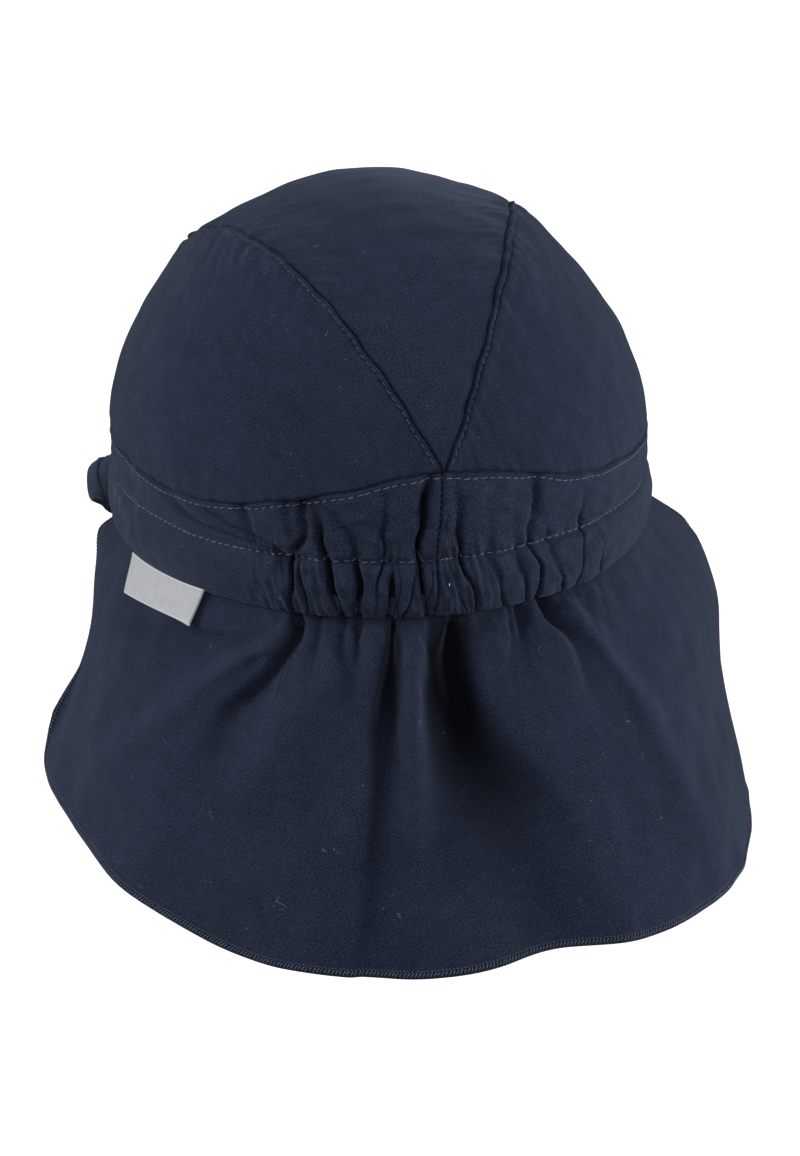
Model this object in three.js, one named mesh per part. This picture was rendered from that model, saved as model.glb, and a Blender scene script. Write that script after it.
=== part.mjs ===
import * as THREE from "three";

// Millimetres. Up is +Z, the back of the head is +Y, the wearer's left is +X.
// The origin is the middle of the head opening, level with the casing's lower edge.
// Angles round the head are degrees from the centre back, positive to the wearer's left.

const HALF_WIDTH = 77.8;
const HALF_LENGTH = 89;
const CASING_HEIGHT = 15.5;
const BAND_HEIGHT = 12.5;
const CROWN_HEIGHT = 72.5;
const CROWN_FULLNESS = 1.8;
const BACK_RISE = 12.3;
const BACK_RISE_SPREAD = 31;
const STRIP_HALF_WIDTH = 48;
const STRIP_WIDEN_ANGLE = 120;
const SEAM_LIFT = 2;
const SEAM_LIFT_SPREAD = 12.7;
const TOPSTITCH_RIDGE = 0.6;
const CLOTH = 1.6;
const CASING_CLOTH = 1.9;
const CASING_BULGE = 1.3;
const GAP = 0.3;
const FLAP_DROP = 90;
const FLAP_FLARE = 43;
const FLAP_TUCK = 1.2;
const HEM_HALF_WIDTH = 1.3;
const HEM_HALF_THICKNESS = 1.15;
const PEAK_HALF_WIDTH = 81;
const PEAK_LENGTH = 122;
const PEAK_START = 20;
const PEAK_END_ANGLE = 103;
const PEAK_THICKNESS = 2.4;
const PEAK_DIP = 17;
const PEAK_ARCH = 5;
const PEAK_SEAT_INSET = 1.5;
const GATHER_DEPTH = 4;
const FOLD_DEPTH = 7;
const LABEL_LENGTH = 36.5;
const LABEL_HEIGHT = 9.4;
const LABEL_THICKNESS = 1;
const LABEL_STAND = 0.45;
const LABEL_FREE_LIFT = 1.6;
const LABEL_START = 0.585;
const LABEL_TOP = 0.003;

const BAND_TOP = CASING_HEIGHT + BAND_HEIGHT;
const RAD = Math.PI / 180;
const SEAM_TIP = Math.atan(BACK_RISE / CROWN_HEIGHT) / RAD;

// Each gather is a valley pressed in by the elastic.
// low, stitch, high: its angle at the casing's edge, at the stitch line and at the crown seam.
// width: half width in degrees. depth: share of GATHER_DEPTH. reach: how far up the band it runs.
const GATHERS = [
  { low: 31, stitch: 31, high: 28, width: 1.6, depth: 0.95, reach: 1 },
  { low: 21.7, stitch: 24, high: 27, width: 1.6, depth: 0.85, reach: 0.75 },
  { low: 17.6, stitch: 18, high: 18.5, width: 1.6, depth: 0.8, reach: 0.3 },
  { low: 12.6, stitch: 13.4, high: 13.8, width: 1.4, depth: 0.6, reach: 0.45 },
  { low: 5.2, stitch: 5.4, high: 3.8, width: 1.6, depth: 1, reach: 0.8 },
  { low: -5.6, stitch: -2.6, high: -1.8, width: 1.6, depth: 0.7, reach: 0.4 },
  { low: -10.2, stitch: -9, high: -8.4, width: 1.5, depth: 0.45, reach: 0.12 },
  { low: -15.5, stitch: -14.5, high: -14.5, width: 1.5, depth: 0.45, reach: 0.15 },
  { low: -21.5, stitch: -18.8, high: -18.8, width: 1.7, depth: 0.85, reach: 0.9 },
  { low: -26.8, stitch: -25, high: -24.5, width: 1.5, depth: 0.4, reach: 0.1 },
  { low: -31.8, stitch: -31.6, high: -32.5, width: 1.6, depth: 0.7, reach: 0.35 },
  { low: -38, stitch: -37.4, high: -37, width: 1.5, depth: 0.3, reach: 0.1 },
];

// Stations across the flap. at: -1 is its right border, 1 its left border.
// top, hem: angle at the casing and at the hem. drop, flare: shares of FLAP_DROP and FLAP_FLARE.
// q0 to q3: share of that flare reached just under the casing, a quarter, half and three quarters down.
const FLAP_STATIONS = [
  { at: -1, top: -95, hem: -87.5, drop: 0.73, flare: 0.52, q0: 0.17, q1: 0.79, q2: 1, q3: 0.97 },
  { at: -0.96, top: -91, hem: -87, drop: 0.87, flare: 0.59, q0: 0.2, q1: 0.77, q2: 0.96, q3: 0.92 },
  { at: -0.91, top: -86, hem: -83, drop: 0.945, flare: 0.64, q0: 0.2, q1: 0.67, q2: 0.86, q3: 0.88 },
  { at: -0.84, top: -79, hem: -76, drop: 0.98, flare: 0.675, q0: 0.19, q1: 0.6, q2: 0.76, q3: 0.85 },
  { at: -0.72, top: -67, hem: -66, drop: 1, flare: 0.73, q0: 0.15, q1: 0.46, q2: 0.67, q3: 0.84 },
  { at: -0.5, top: -44, hem: -46, drop: 1.025, flare: 0.85, q0: 0.12, q1: 0.37, q2: 0.62, q3: 0.84 },
  { at: -0.3, top: -25, hem: -27, drop: 1.005, flare: 0.94, q0: 0.12, q1: 0.36, q2: 0.62, q3: 0.84 },
  { at: -0.1, top: -8.5, hem: -9.5, drop: 0.975, flare: 1, q0: 0.12, q1: 0.36, q2: 0.62, q3: 0.84 },
  { at: 0.1, top: 8.5, hem: 9.5, drop: 0.985, flare: 1.01, q0: 0.12, q1: 0.36, q2: 0.62, q3: 0.84 },
  { at: 0.3, top: 25, hem: 27, drop: 0.975, flare: 0.965, q0: 0.11, q1: 0.35, q2: 0.61, q3: 0.83 },
  { at: 0.5, top: 44, hem: 46, drop: 0.91, flare: 0.86, q0: 0.11, q1: 0.34, q2: 0.59, q3: 0.81 },
  { at: 0.72, top: 67, hem: 66, drop: 0.83, flare: 0.69, q0: 0.11, q1: 0.34, q2: 0.56, q3: 0.79 },
  { at: 0.84, top: 79, hem: 79, drop: 0.795, flare: 0.6, q0: 0.11, q1: 0.33, q2: 0.5, q3: 0.76 },
  { at: 0.91, top: 87.5, hem: 88, drop: 0.775, flare: 0.58, q0: 0.13, q1: 0.32, q2: 0.46, q3: 0.73 },
  { at: 0.96, top: 94.5, hem: 92, drop: 0.73, flare: 0.545, q0: 0.19, q1: 0.28, q2: 0.39, q3: 0.61 },
  { at: 1, top: 100, hem: 93.5, drop: 0.64, flare: 0.47, q0: 0.24, q1: 0.26, q2: 0.35, q3: 0.58 },
];

const FLARE_AT = [0, 0.08, 0.25, 0.5, 0.75, 1];

// Folds of the flap; a negative depth is a ridge. The shares down the flap are in FOLD_AT.
// angle and width in degrees, depth as a share of FOLD_DEPTH, each at those five shares.
const FOLD_AT = [0, 0.1, 0.25, 0.5, 1];
const FLAP_FOLDS = [
  { angle: [0.5, 1.2, 2.6, 4.8, 5], width: [5.2, 5, 4, 2.6, 3], depth: [0.86, 1, 0.71, 0.17, 0] },
  { angle: [0, 0, 0, -3, -9.5], width: [9, 9, 9, 9, 8], depth: [0, 0, 0.21, 0.5, 0.93] },
  { angle: [8.2, 8.2, 8.7, 8.3, 8], width: [2, 1.9, 2, 3, 4], depth: [-0.14, -0.34, -0.31, -0.17, 0] },
  { angle: [12, 12.2, 13.6, 14.8, 12], width: [1.7, 1.7, 2.2, 3.4, 6], depth: [0.57, 0.71, 0.43, 0.29, 0] },
  { angle: [15, 15.2, 16, 17, 18], width: [1.8, 1.8, 2, 3, 4], depth: [0, -0.26, -0.09, 0, 0] },
  { angle: [22, 21.8, 21.5, 21, 21], width: [2, 2.2, 3, 4, 4], depth: [0.14, 0.26, 0.09, 0, 0] },
  { angle: [31, 33, 39, 46, 50], width: [2.2, 2.6, 3.4, 5, 6], depth: [0.43, 0.51, 0.17, 0.06, 0] },
  { angle: [33, 42, 53, 59, 68], width: [2.5, 2.8, 3.2, 4.2, 6], depth: [0.14, 0.26, 0.23, 0.17, 0] },
  { angle: [-9, -8.6, -8.4, -8, -8], width: [1.6, 1.6, 2, 3, 3], depth: [0.14, 0.21, 0.07, 0, 0] },
  { angle: [-13, -12, -11.6, -11, -11], width: [1.6, 1.6, 2, 3, 3], depth: [0.14, 0.23, 0.07, 0, 0] },
  { angle: [-20, -21, -25, -33, -38], width: [2, 2.4, 3, 4, 5], depth: [0.43, 0.57, 0.29, 0.09, 0] },
  { angle: [-27, -28, -32, -40, -52], width: [3, 3, 3.4, 5, 7], depth: [-0.09, -0.26, -0.29, -0.17, 0] },
];

// Height of the peak's outer edge. turn: degrees from straight ahead. rise: share of PEAK_DIP.
const PEAK_EDGE = [
  { turn: 0, rise: -1 },
  { turn: 30, rise: -0.91 },
  { turn: 46, rise: -0.7 },
  { turn: 60, rise: -0.35 },
  { turn: 75, rise: 0.09 },
  { turn: 90, rise: 0.24 },
];

function clamp(value, low, high) {
  return Math.min(high, Math.max(low, value));
}

function smooth(value) {
  const t = clamp(value, 0, 1);
  return t * t * (3 - 2 * t);
}

// Monotone-looking blend through the rows of a table: linear in the key, eased by neighbours.
function tableValue(rows, key, name, at) {
  let i = 0;
  while (i < rows.length - 2 && at > rows[i + 1][key]) {
    i += 1;
  }
  const value = (k) => rows[clamp(k, 0, rows.length - 1)][name];
  const place = (k) => rows[clamp(k, 0, rows.length - 1)][key];
  const span = place(i + 1) - place(i);
  const t = clamp((at - place(i)) / span, 0, 1);
  const rise = value(i + 1) - value(i);
  const before = i > 0 ? (value(i) - value(i - 1)) / (place(i) - place(i - 1)) : rise / span;
  const beyond = i + 2 < rows.length
    ? (value(i + 2) - value(i + 1)) / (place(i + 2) - place(i + 1))
    : rise / span;
  const here = rise / span;
  const slopeIn = before * here > 0 ? (2 * before * here) / (before + here) : 0;
  const slopeOut = beyond * here > 0 ? (2 * beyond * here) / (beyond + here) : 0;
  const t2 = t * t;
  const t3 = t2 * t;
  return (2 * t3 - 3 * t2 + 1) * value(i)
    + (t3 - 2 * t2 + t) * span * slopeIn
    + (3 * t2 - 2 * t3) * value(i + 1)
    + (t3 - t2) * span * slopeOut;
}

function listValue(places, values, at) {
  const rows = places.map((place, i) => ({ place, value: values[i] }));
  return tableValue(rows, "place", "value", at);
}

// A closed body from two matching grids of points: the sheet's outer face and its inner face.
function sheetBody(outer, inner) {
  const rows = outer.length;
  const columns = outer[0].length;
  const points = [...outer.flat(), ...inner.flat()];
  const half = rows * columns;
  const index = [];
  const quad = (a, b, c, d) => {
    index.push(a, b, c, a, c, d);
  };
  for (let i = 0; i < rows - 1; i += 1) {
    for (let j = 0; j < columns - 1; j += 1) {
      const a = i * columns + j;
      quad(a, a + 1, a + columns + 1, a + columns);
      quad(half + a, half + a + columns, half + a + columns + 1, half + a + 1);
    }
  }
  for (let j = 0; j < columns - 1; j += 1) {
    const last = (rows - 1) * columns + j;
    quad(j, half + j, half + j + 1, j + 1);
    quad(last, last + 1, half + last + 1, half + last);
  }
  for (let i = 0; i < rows - 1; i += 1) {
    const first = i * columns;
    const end = first + columns - 1;
    quad(first, first + columns, half + first + columns, half + first);
    quad(end, half + end, half + end + columns, end + columns);
  }
  const geometry = new THREE.BufferGeometry();
  const flat = points.flatMap((p) => [p.x, p.y, p.z]);
  geometry.setAttribute("position", new THREE.Float32BufferAttribute(flat, 3));
  geometry.setIndex(index);
  geometry.computeVertexNormals();
  return geometry;
}

// Unit normals of a grid, pointing to the side its rows and columns turn about.
function gridNormals(grid) {
  const rows = grid.length;
  const columns = grid[0].length;
  return grid.map((row, i) => row.map((p, j) => {
    const up = grid[Math.min(rows - 1, i + 1)][j].clone().sub(grid[Math.max(0, i - 1)][j]);
    const across = row[Math.min(columns - 1, j + 1)].clone().sub(row[Math.max(0, j - 1)]);
    return across.cross(up).normalize();
  }));
}

function offsetGrid(grid, distance) {
  const normals = gridNormals(grid);
  return grid.map((row, i) => row.map((p, j) => p.clone().addScaledVector(normals[i][j], distance)));
}

// A point moved level towards the middle of the head, as the band's own wall is thickened.
function levelInset(p, distance) {
  const inward = new THREE.Vector3(p.x / HALF_WIDTH ** 2, p.y / HALF_LENGTH ** 2, 0).normalize();
  return p.clone().addScaledVector(inward, -distance);
}

function part(name, geometry, colour, roughness) {
  const material = new THREE.MeshStandardMaterial({ color: colour, roughness, metalness: 0 });
  const mesh = new THREE.Mesh(geometry, material);
  mesh.name = name;
  return mesh;
}

// Height of the seam between crown and band.
function crownSeamHeight(angle) {
  return BAND_TOP + BACK_RISE * Math.exp(-((angle / BACK_RISE_SPREAD) ** 2));
}

function stripHalfWidth(turn) {
  const share = clamp((turn - SEAM_TIP) / STRIP_WIDEN_ANGLE, 0, 1);
  return STRIP_HALF_WIDTH * Math.sin((Math.PI / 2) * share);
}

// Point of the crown in a direction: an egg-shaped dome, raised softly along the two panel seams.
function crownPoint(direction, extra = 0) {
  const level = Math.hypot(direction.x, direction.y);
  const reach = (level ** CROWN_FULLNESS + Math.abs(direction.z) ** CROWN_FULLNESS)
    ** (-1 / CROWN_FULLNESS);
  const turn = Math.atan2(direction.z, direction.y) / RAD;
  const side = HALF_WIDTH * Math.abs(direction.x) * reach;
  const away = (side - stripHalfWidth(turn)) / SEAM_LIFT_SPREAD;
  const along = clamp((turn - SEAM_TIP) / (180 - SEAM_TIP), 0, 1);
  const lift = SEAM_LIFT * Math.exp(-away * away) * Math.sin(Math.PI * along) ** 1.5;
  const normal = new THREE.Vector3(
    direction.x / HALF_WIDTH,
    direction.y / HALF_LENGTH,
    direction.z / CROWN_HEIGHT,
  ).normalize();
  return new THREE.Vector3(
    HALF_WIDTH * direction.x * reach,
    HALF_LENGTH * direction.y * reach,
    CROWN_HEIGHT * direction.z * reach + BAND_TOP,
  ).addScaledVector(normal, lift + extra);
}

function stripDirection(turn, sideWidth) {
  const tilt = Math.asin(sideWidth / HALF_WIDTH);
  return new THREE.Vector3(
    Math.sin(tilt),
    Math.cos(turn * RAD) * Math.cos(tilt),
    Math.sin(turn * RAD) * Math.cos(tilt),
  );
}

// Direction of a point of the crown seam, for the crown's own formula.
function seamDirection(angle) {
  const height = clamp((crownSeamHeight(angle) + GAP / 2 - BAND_TOP) / CROWN_HEIGHT, 0, 1);
  const level = (1 - height ** CROWN_FULLNESS) ** (1 / CROWN_FULLNESS);
  return new THREE.Vector3(
    level * Math.sin(angle * RAD),
    level * Math.cos(angle * RAD),
    height,
  ).normalize();
}

// Shares along the panel seams, closer together at the two ends.
const SEAM_SHARES = [0.006, 0.025, 0.055, 0.09];
for (let i = 0; i < 22; i += 1) {
  SEAM_SHARES.push(0.13 + (0.84 * i) / 22);
}
SEAM_SHARES.push(0.97, 0.993);

function seamTurn(share) {
  return SEAM_TIP + (180 - SEAM_TIP) * share;
}

function crownCentrePanel() {
  const shares = [...SEAM_SHARES, 0.9988];
  const steps = [-1, -0.8, -0.55, -0.28, 0, 0.28, 0.55, 0.8, 1];
  const grid = shares.map((share) => {
    const turn = seamTurn(share);
    const wide = stripHalfWidth(turn) - GAP / 2;
    return steps.map((step) => crownPoint(stripDirection(turn, -wide * step)));
  });
  const inner = offsetGrid(grid, -CLOTH);
  [0, grid.length - 1].forEach((i) => {
    inner[i] = grid[i].map((p) => levelInset(p, CLOTH));
  });
  return sheetBody(grid, inner);
}

// A side panel runs from the top-stitched panel seam down to the crown seam.
function crownSidePanel(side) {
  const frontAngle = 180 - Math.asin(STRIP_HALF_WIDTH / HALF_WIDTH) / RAD;
  const grid = SEAM_SHARES.map((share) => {
    const turn = seamTurn(share);
    const top = stripDirection(turn, stripHalfWidth(turn));
    const low = seamDirection(frontAngle * share);
    const length = crownPoint(top).distanceTo(crownPoint(low));
    const inset = Math.min(0.2, (GAP / 2) / length);
    const ridge = Math.min(0.45, 1.7 / length);
    const steps = [inset, ridge, ridge * 1.4];
    for (let i = 1; i <= 6; i += 1) {
      steps.push(ridge * 1.4 + (1 - ridge * 1.4) * (i / 6) ** 1.1);
    }
    const row = steps.map((step, j) => {
      const direction = top.clone().lerp(low, step).normalize();
      const raised = j === 1 ? TOPSTITCH_RIDGE * clamp(length / 12, 0, 1) : 0;
      return crownPoint(direction, j === 0 ? raised * 0.5 : raised);
    });
    row.forEach((p) => {
      p.x *= side;
    });
    return side > 0 ? row.reverse() : row;
  });
  const inner = offsetGrid(grid, -CLOTH);
  grid.forEach((row, i) => {
    const low = side > 0 ? 0 : row.length - 1;
    inner[i][low] = levelInset(row[low], CLOTH);
  });
  return sheetBody(grid, inner);
}

// How far the gathers press the wall in at an angle and height, and how steep they are there.
function gatherDepth(angle, z) {
  let depth = 0;
  GATHERS.forEach((g) => {
    const inCasing = clamp(z / CASING_HEIGHT, 0, 1);
    const inBand = clamp((z - CASING_HEIGHT) / (crownSeamHeight(angle) - CASING_HEIGHT), 0, 1);
    const centre = g.low + (g.stitch - g.low) * inCasing + (g.high - g.stitch) * inBand;
    const fade = 1 - smooth(inBand / (g.reach + 0.08));
    const across = (angle - centre) / (g.width * (1 + 0.5 * inBand));
    const pinch = 0.72 + 0.28 * Math.sin(Math.PI * clamp(z / CASING_HEIGHT, 0, 1));
    depth += GATHER_DEPTH * g.depth * fade * (z < CASING_HEIGHT ? pinch : 0.72) * Math.exp(-across * across);
  });
  return depth;
}

// Outer face of band and casing: level ellipses below the crown's rim, the crown's profile above.
function wallPoint(angle, z, inward) {
  const height = clamp((z - BAND_TOP) / CROWN_HEIGHT, 0, 1);
  const level = (1 - height ** CROWN_FULLNESS) ** (1 / CROWN_FULLNESS);
  const bulge = z < CASING_HEIGHT ? CASING_BULGE * Math.sin(Math.PI * clamp(z / CASING_HEIGHT, 0, 1)) : 0;
  const out = bulge - gatherDepth(angle, z) - inward;
  return new THREE.Vector3(
    (HALF_WIDTH * level + out) * Math.sin(angle * RAD),
    (HALF_LENGTH * level + out) * Math.cos(angle * RAD),
    z,
  );
}

// Wall thickness measured level, more where a gather's flank is steep.
function wallDepth(angle, z, cloth) {
  const slope = (gatherDepth(angle + 0.3, z) - gatherDepth(angle - 0.3, z)) / (0.6 * RAD * HALF_LENGTH);
  return cloth * Math.min(1.7, Math.hypot(1, slope));
}

// Angles round the head, close together over the gathers; the first and last leave the back slit.
function ringAngles(fine, coarse) {
  const slit = (GAP / 2 / HALF_LENGTH) / RAD;
  const angles = [slit];
  for (let angle = fine; angle < 36; angle += fine) {
    angles.push(angle);
  }
  for (let angle = 36; angle < 318; angle += coarse) {
    angles.push(angle);
  }
  for (let angle = 318; angle < 360 - fine / 2; angle += fine) {
    angles.push(angle);
  }
  angles.push(360 - slit);
  return angles;
}

function signedAngle(angle) {
  return angle > 180 ? angle - 360 : angle;
}

function headBand() {
  const angles = ringAngles(1.6, 8);
  const shares = [0, 0.3, 0.65, 1];
  const face = (inside) => shares.map((share) => angles.map((around) => {
    const angle = signedAngle(around);
    const low = CASING_HEIGHT + GAP / 2;
    const high = crownSeamHeight(angle) - GAP / 2;
    const z = low + (high - low) * share;
    return wallPoint(angle, z, inside ? wallDepth(angle, z, CLOTH) : 0);
  }).reverse());
  return sheetBody(face(false), face(true));
}

function elasticCasing() {
  const angles = ringAngles(1.15, 9);
  const heights = [0, 0.28, 0.72, 1].map((share) => share * (CASING_HEIGHT - GAP / 2));
  const face = (inside) => heights.map((z) => angles.map((around) => {
    const angle = signedAngle(around);
    return wallPoint(angle, z, inside ? wallDepth(angle, z, CASING_CLOTH) : 0);
  }).reverse());
  return sheetBody(face(false), face(true));
}

// How far the folds press the flap in.
function foldDepth(angle, down) {
  let depth = 0;
  FLAP_FOLDS.forEach((fold) => {
    const centre = listValue(FOLD_AT, fold.angle, down);
    const width = listValue(FOLD_AT, fold.width, down);
    const across = (angle - centre) / width;
    depth += FOLD_DEPTH * listValue(FOLD_AT, fold.depth, down) * Math.exp(-across * across);
  });
  return depth;
}

// Point of the flap. at: -1 right border to 1 left border. down: 0 under the casing to 1 at the hem.
function flapPoint(at, down) {
  const row = (name) => tableValue(FLAP_STATIONS, "at", name, at);
  const angle = row("top") + (row("hem") - row("top")) * down;
  const flares = [0, row("q0"), row("q1"), row("q2"), row("q3"), 1];
  const flare = FLAP_FLARE * row("flare") * listValue(FLARE_AT, flares, down);
  const out = flare - FLAP_TUCK * (1 - smooth(down * 8)) - foldDepth(angle, down);
  return new THREE.Vector3(
    (HALF_WIDTH + out) * Math.sin(angle * RAD),
    (HALF_LENGTH + out) * Math.cos(angle * RAD),
    -GAP - (FLAP_DROP * row("drop") - GAP) * down,
  );
}

const FLAP_DOWN = [0, 0.06, 0.14, 0.24, 0.36, 0.5, 0.66, 0.83, 1];

function flapColumns() {
  const columns = [];
  for (let i = 0; i <= 8; i += 1) {
    columns.push(-1 + (0.56 * i) / 8);
  }
  for (let at = -0.42; at < 0.44; at += 0.0156) {
    columns.push(at);
  }
  for (let i = 0; i <= 8; i += 1) {
    columns.push(0.44 + (0.56 * i) / 8);
  }
  return columns;
}

function neckFlap() {
  const columns = flapColumns().reverse();
  const rows = [...FLAP_DOWN].reverse();
  const outer = rows.map((down) => columns.map((at) => flapPoint(at, down)));
  const normal = (at, down) => {
    const e = 0.004;
    const across = flapPoint(at - e, down).sub(flapPoint(at + e, down));
    const up = flapPoint(at, down - e).sub(flapPoint(at, down + e));
    return across.cross(up).normalize();
  };
  const inner = rows.map((down, i) => columns.map((at, j) => {
    const n = normal(clamp(at, -0.996, 0.996), clamp(down, 0.004, 0.996));
    if (down === 0) {
      n.z = 0;
      n.normalize();
    }
    return outer[i][j].clone().addScaledVector(n, -CLOTH);
  }));
  return sheetBody(outer, inner);
}

// Rolled hem: a flat-sided bead that follows the flap's free border at a hairline gap.
function flapHem() {
  const columns = flapColumns();
  const border = [];
  FLAP_DOWN.slice(0, -1).forEach((down) => border.push([-1, down]));
  columns.forEach((at) => border.push([at, 1]));
  FLAP_DOWN.slice(0, -1).reverse().forEach((down) => border.push([1, down]));
  const edge = border.map(([at, down]) => flapPoint(at, down));
  const e = 0.004;
  const rings = border.map(([at, down], i) => {
    const a = clamp(at, -1 + e, 1 - e);
    const d = clamp(down, e, 1 - e);
    const across = flapPoint(a - e, d).sub(flapPoint(a + e, d));
    const up = flapPoint(a, d - e).sub(flapPoint(a, d + e));
    const normal = across.cross(up).normalize();
    const along = edge[Math.min(edge.length - 1, i + 1)].clone().sub(edge[Math.max(0, i - 1)]);
    along.normalize();
    const outward = normal.clone().cross(along).normalize();
    const middle = edge[i].clone().addScaledVector(normal, -CLOTH / 2);
    middle.addScaledVector(outward, HEM_HALF_WIDTH + GAP);
    return [0, 60, 120, 180, 240, 300].map((turn) => middle.clone()
      .addScaledVector(outward, HEM_HALF_WIDTH * Math.cos(turn * RAD))
      .addScaledVector(normal, HEM_HALF_THICKNESS * Math.sin(turn * RAD)));
  });
  return ropeBody(rings);
}

// A closed body from a run of equal rings with flat ends.
function ropeBody(rings) {
  const sides = rings[0].length;
  const points = rings.flat();
  const index = [];
  for (let i = 0; i < rings.length - 1; i += 1) {
    for (let j = 0; j < sides; j += 1) {
      const a = i * sides + j;
      const b = i * sides + ((j + 1) % sides);
      index.push(a, b, b + sides, a, b + sides, a + sides);
    }
  }
  for (let j = 1; j < sides - 1; j += 1) {
    const last = (rings.length - 1) * sides;
    index.push(0, j + 1, j);
    index.push(last, last + j, last + j + 1);
  }
  const geometry = new THREE.BufferGeometry();
  const flat = points.flatMap((p) => [p.x, p.y, p.z]);
  geometry.setAttribute("position", new THREE.Float32BufferAttribute(flat, 3));
  geometry.setIndex(index);
  geometry.computeVertexNormals();
  return geometry;
}

// Peak: from under the casing's edge out to an oval brim, arched from side to side.
function peakPoint(share, out) {
  const around = (180 - (180 - PEAK_END_ANGLE) * share) * RAD;
  const start = new THREE.Vector3(
    (HALF_WIDTH - PEAK_SEAT_INSET) * Math.sin(around),
    (HALF_LENGTH - PEAK_SEAT_INSET) * Math.cos(around),
    -GAP,
  );
  const turn = 90 * share;
  const end = new THREE.Vector3(
    PEAK_HALF_WIDTH * Math.sin(turn * RAD),
    -PEAK_START - PEAK_LENGTH * Math.cos(turn * RAD),
    PEAK_DIP * tableValue(PEAK_EDGE, "turn", "rise", Math.abs(turn)),
  );
  const clear = smooth((start.distanceTo(end) * out - 1.6) / 3.4);
  const arch = PEAK_ARCH * Math.sin(Math.PI * out) * out * Math.cos(turn * RAD) ** 0.7;
  const rise = Math.max(0, end.z) * out;
  const fall = Math.min(0, end.z) * out;
  const point = start.clone().lerp(end, out);
  point.z = -GAP + (rise + arch) * clear + fall;
  return point;
}

function peak() {
  const shares = [];
  for (let i = 0; i <= 26; i += 1) {
    shares.push(1 - i / 13);
  }
  const outs = [0, 0.12, 0.4, 0.7, 1];
  const grid = outs.map((out) => shares.map((share) => peakPoint(share, out)));
  const under = offsetGrid(grid, -PEAK_THICKNESS);
  under[0].forEach((p, j) => {
    p.x = grid[0][j].x;
    p.y = grid[0][j].y;
    p.z = grid[0][j].z - PEAK_THICKNESS;
  });
  return sheetBody(grid, under);
}

// Bare woven tag, folded flat, lying on the flap under the casing's left side.
function sideLabel() {
  const steps = 8;
  const rows = [1, 0.5, 0];
  const start = flapPoint(LABEL_START, 0);
  const hundredth = start.distanceTo(flapPoint(LABEL_START + 0.01, 0));
  const share = (0.01 * LABEL_LENGTH) / hundredth;
  const at = (i) => LABEL_START + share * (i / steps);
  const downs = rows.map((row) => LABEL_TOP + (row * LABEL_HEIGHT) / (FLAP_DROP * 0.9));
  const face = (lift) => downs.map((down, r) => {
    const row = [];
    for (let i = steps; i >= 0; i -= 1) {
      const e = 0.004;
      const across = flapPoint(at(i) - e, down).sub(flapPoint(at(i) + e, down));
      const up = flapPoint(at(i), down - e).sub(flapPoint(at(i), down + e));
      const normal = across.cross(up).normalize();
      const free = LABEL_FREE_LIFT * smooth(1 - i / 3);
      row.push(flapPoint(at(i), down).addScaledVector(normal, lift + LABEL_STAND + free));
    }
    return row;
  });
  return sheetBody(face(LABEL_THICKNESS), face(0));
}

const cap = new THREE.Group();
cap.name = "neck_flap_cap";
cap.add(
  part("crown_centre_panel", crownCentrePanel(), 0x2a3244, 0.85),
  part("crown_left_panel", crownSidePanel(1), 0x2d3648, 0.85),
  part("crown_right_panel", crownSidePanel(-1), 0x2d3648, 0.85),
  part("head_band", headBand(), 0x2b3345, 0.85),
  part("elastic_casing", elasticCasing(), 0x293143, 0.85),
  part("neck_flap", neckFlap(), 0x282f42, 0.85),
  part("flap_hem", flapHem(), 0x323a4e, 0.9),
  part("peak", peak(), 0x2d3648, 0.85),
  part("side_label", sideLabel(), 0xaeafb2, 0.8),
);

export default cap;
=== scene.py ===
import math

import bpy
import numpy as np
from mathutils import Matrix, Vector


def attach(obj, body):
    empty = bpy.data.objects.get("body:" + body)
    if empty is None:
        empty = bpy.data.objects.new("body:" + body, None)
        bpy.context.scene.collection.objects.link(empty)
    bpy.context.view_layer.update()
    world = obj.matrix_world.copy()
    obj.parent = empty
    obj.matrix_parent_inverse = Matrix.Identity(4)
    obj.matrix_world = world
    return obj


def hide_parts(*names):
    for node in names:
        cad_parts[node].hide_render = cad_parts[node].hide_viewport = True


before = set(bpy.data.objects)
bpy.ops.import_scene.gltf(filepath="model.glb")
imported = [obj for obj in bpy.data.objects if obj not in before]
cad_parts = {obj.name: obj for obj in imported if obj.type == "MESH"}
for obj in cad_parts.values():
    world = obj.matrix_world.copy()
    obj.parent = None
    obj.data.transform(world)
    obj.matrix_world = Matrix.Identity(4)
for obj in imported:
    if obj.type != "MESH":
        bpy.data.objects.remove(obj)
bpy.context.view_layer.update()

# Camera
# The cap is looked at from behind, a little from its wearer's left and a little from above,
# from far enough away that the crown and the flap keep their true proportions.
CAMERA_AZIMUTH = 168
CAMERA_ELEVATION = 19
CAMERA_ROLL = -1.4
CAMERA_DISTANCE = 1.3
CAMERA_AIM = Vector((0, 0, 0.028))
IMAGE_HEIGHT_PIXELS = 1156
PIXELS_PER_RADIAN = 4446
AIM_RIGHT_PIXELS = -23
AIM_UP_PIXELS = 162

azimuth = math.radians(CAMERA_AZIMUTH)
elevation = math.radians(CAMERA_ELEVATION)
roll = math.radians(CAMERA_ROLL)
back = Vector((
    math.sin(azimuth) * math.cos(elevation),
    -math.cos(azimuth) * math.cos(elevation),
    math.sin(elevation),
))
level_right = Vector((math.cos(azimuth), math.sin(azimuth), 0))
level_up = back.cross(level_right)
right = level_right * math.cos(roll) + level_up * math.sin(roll)
up = level_up * math.cos(roll) - level_right * math.sin(roll)
facing = Matrix((right, up, back)).transposed()
aim_ray = Vector((AIM_RIGHT_PIXELS, AIM_UP_PIXELS, -PIXELS_PER_RADIAN)).normalized()
turn_to_centre = aim_ray.rotation_difference(Vector((0, 0, -1))).to_matrix()

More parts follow.
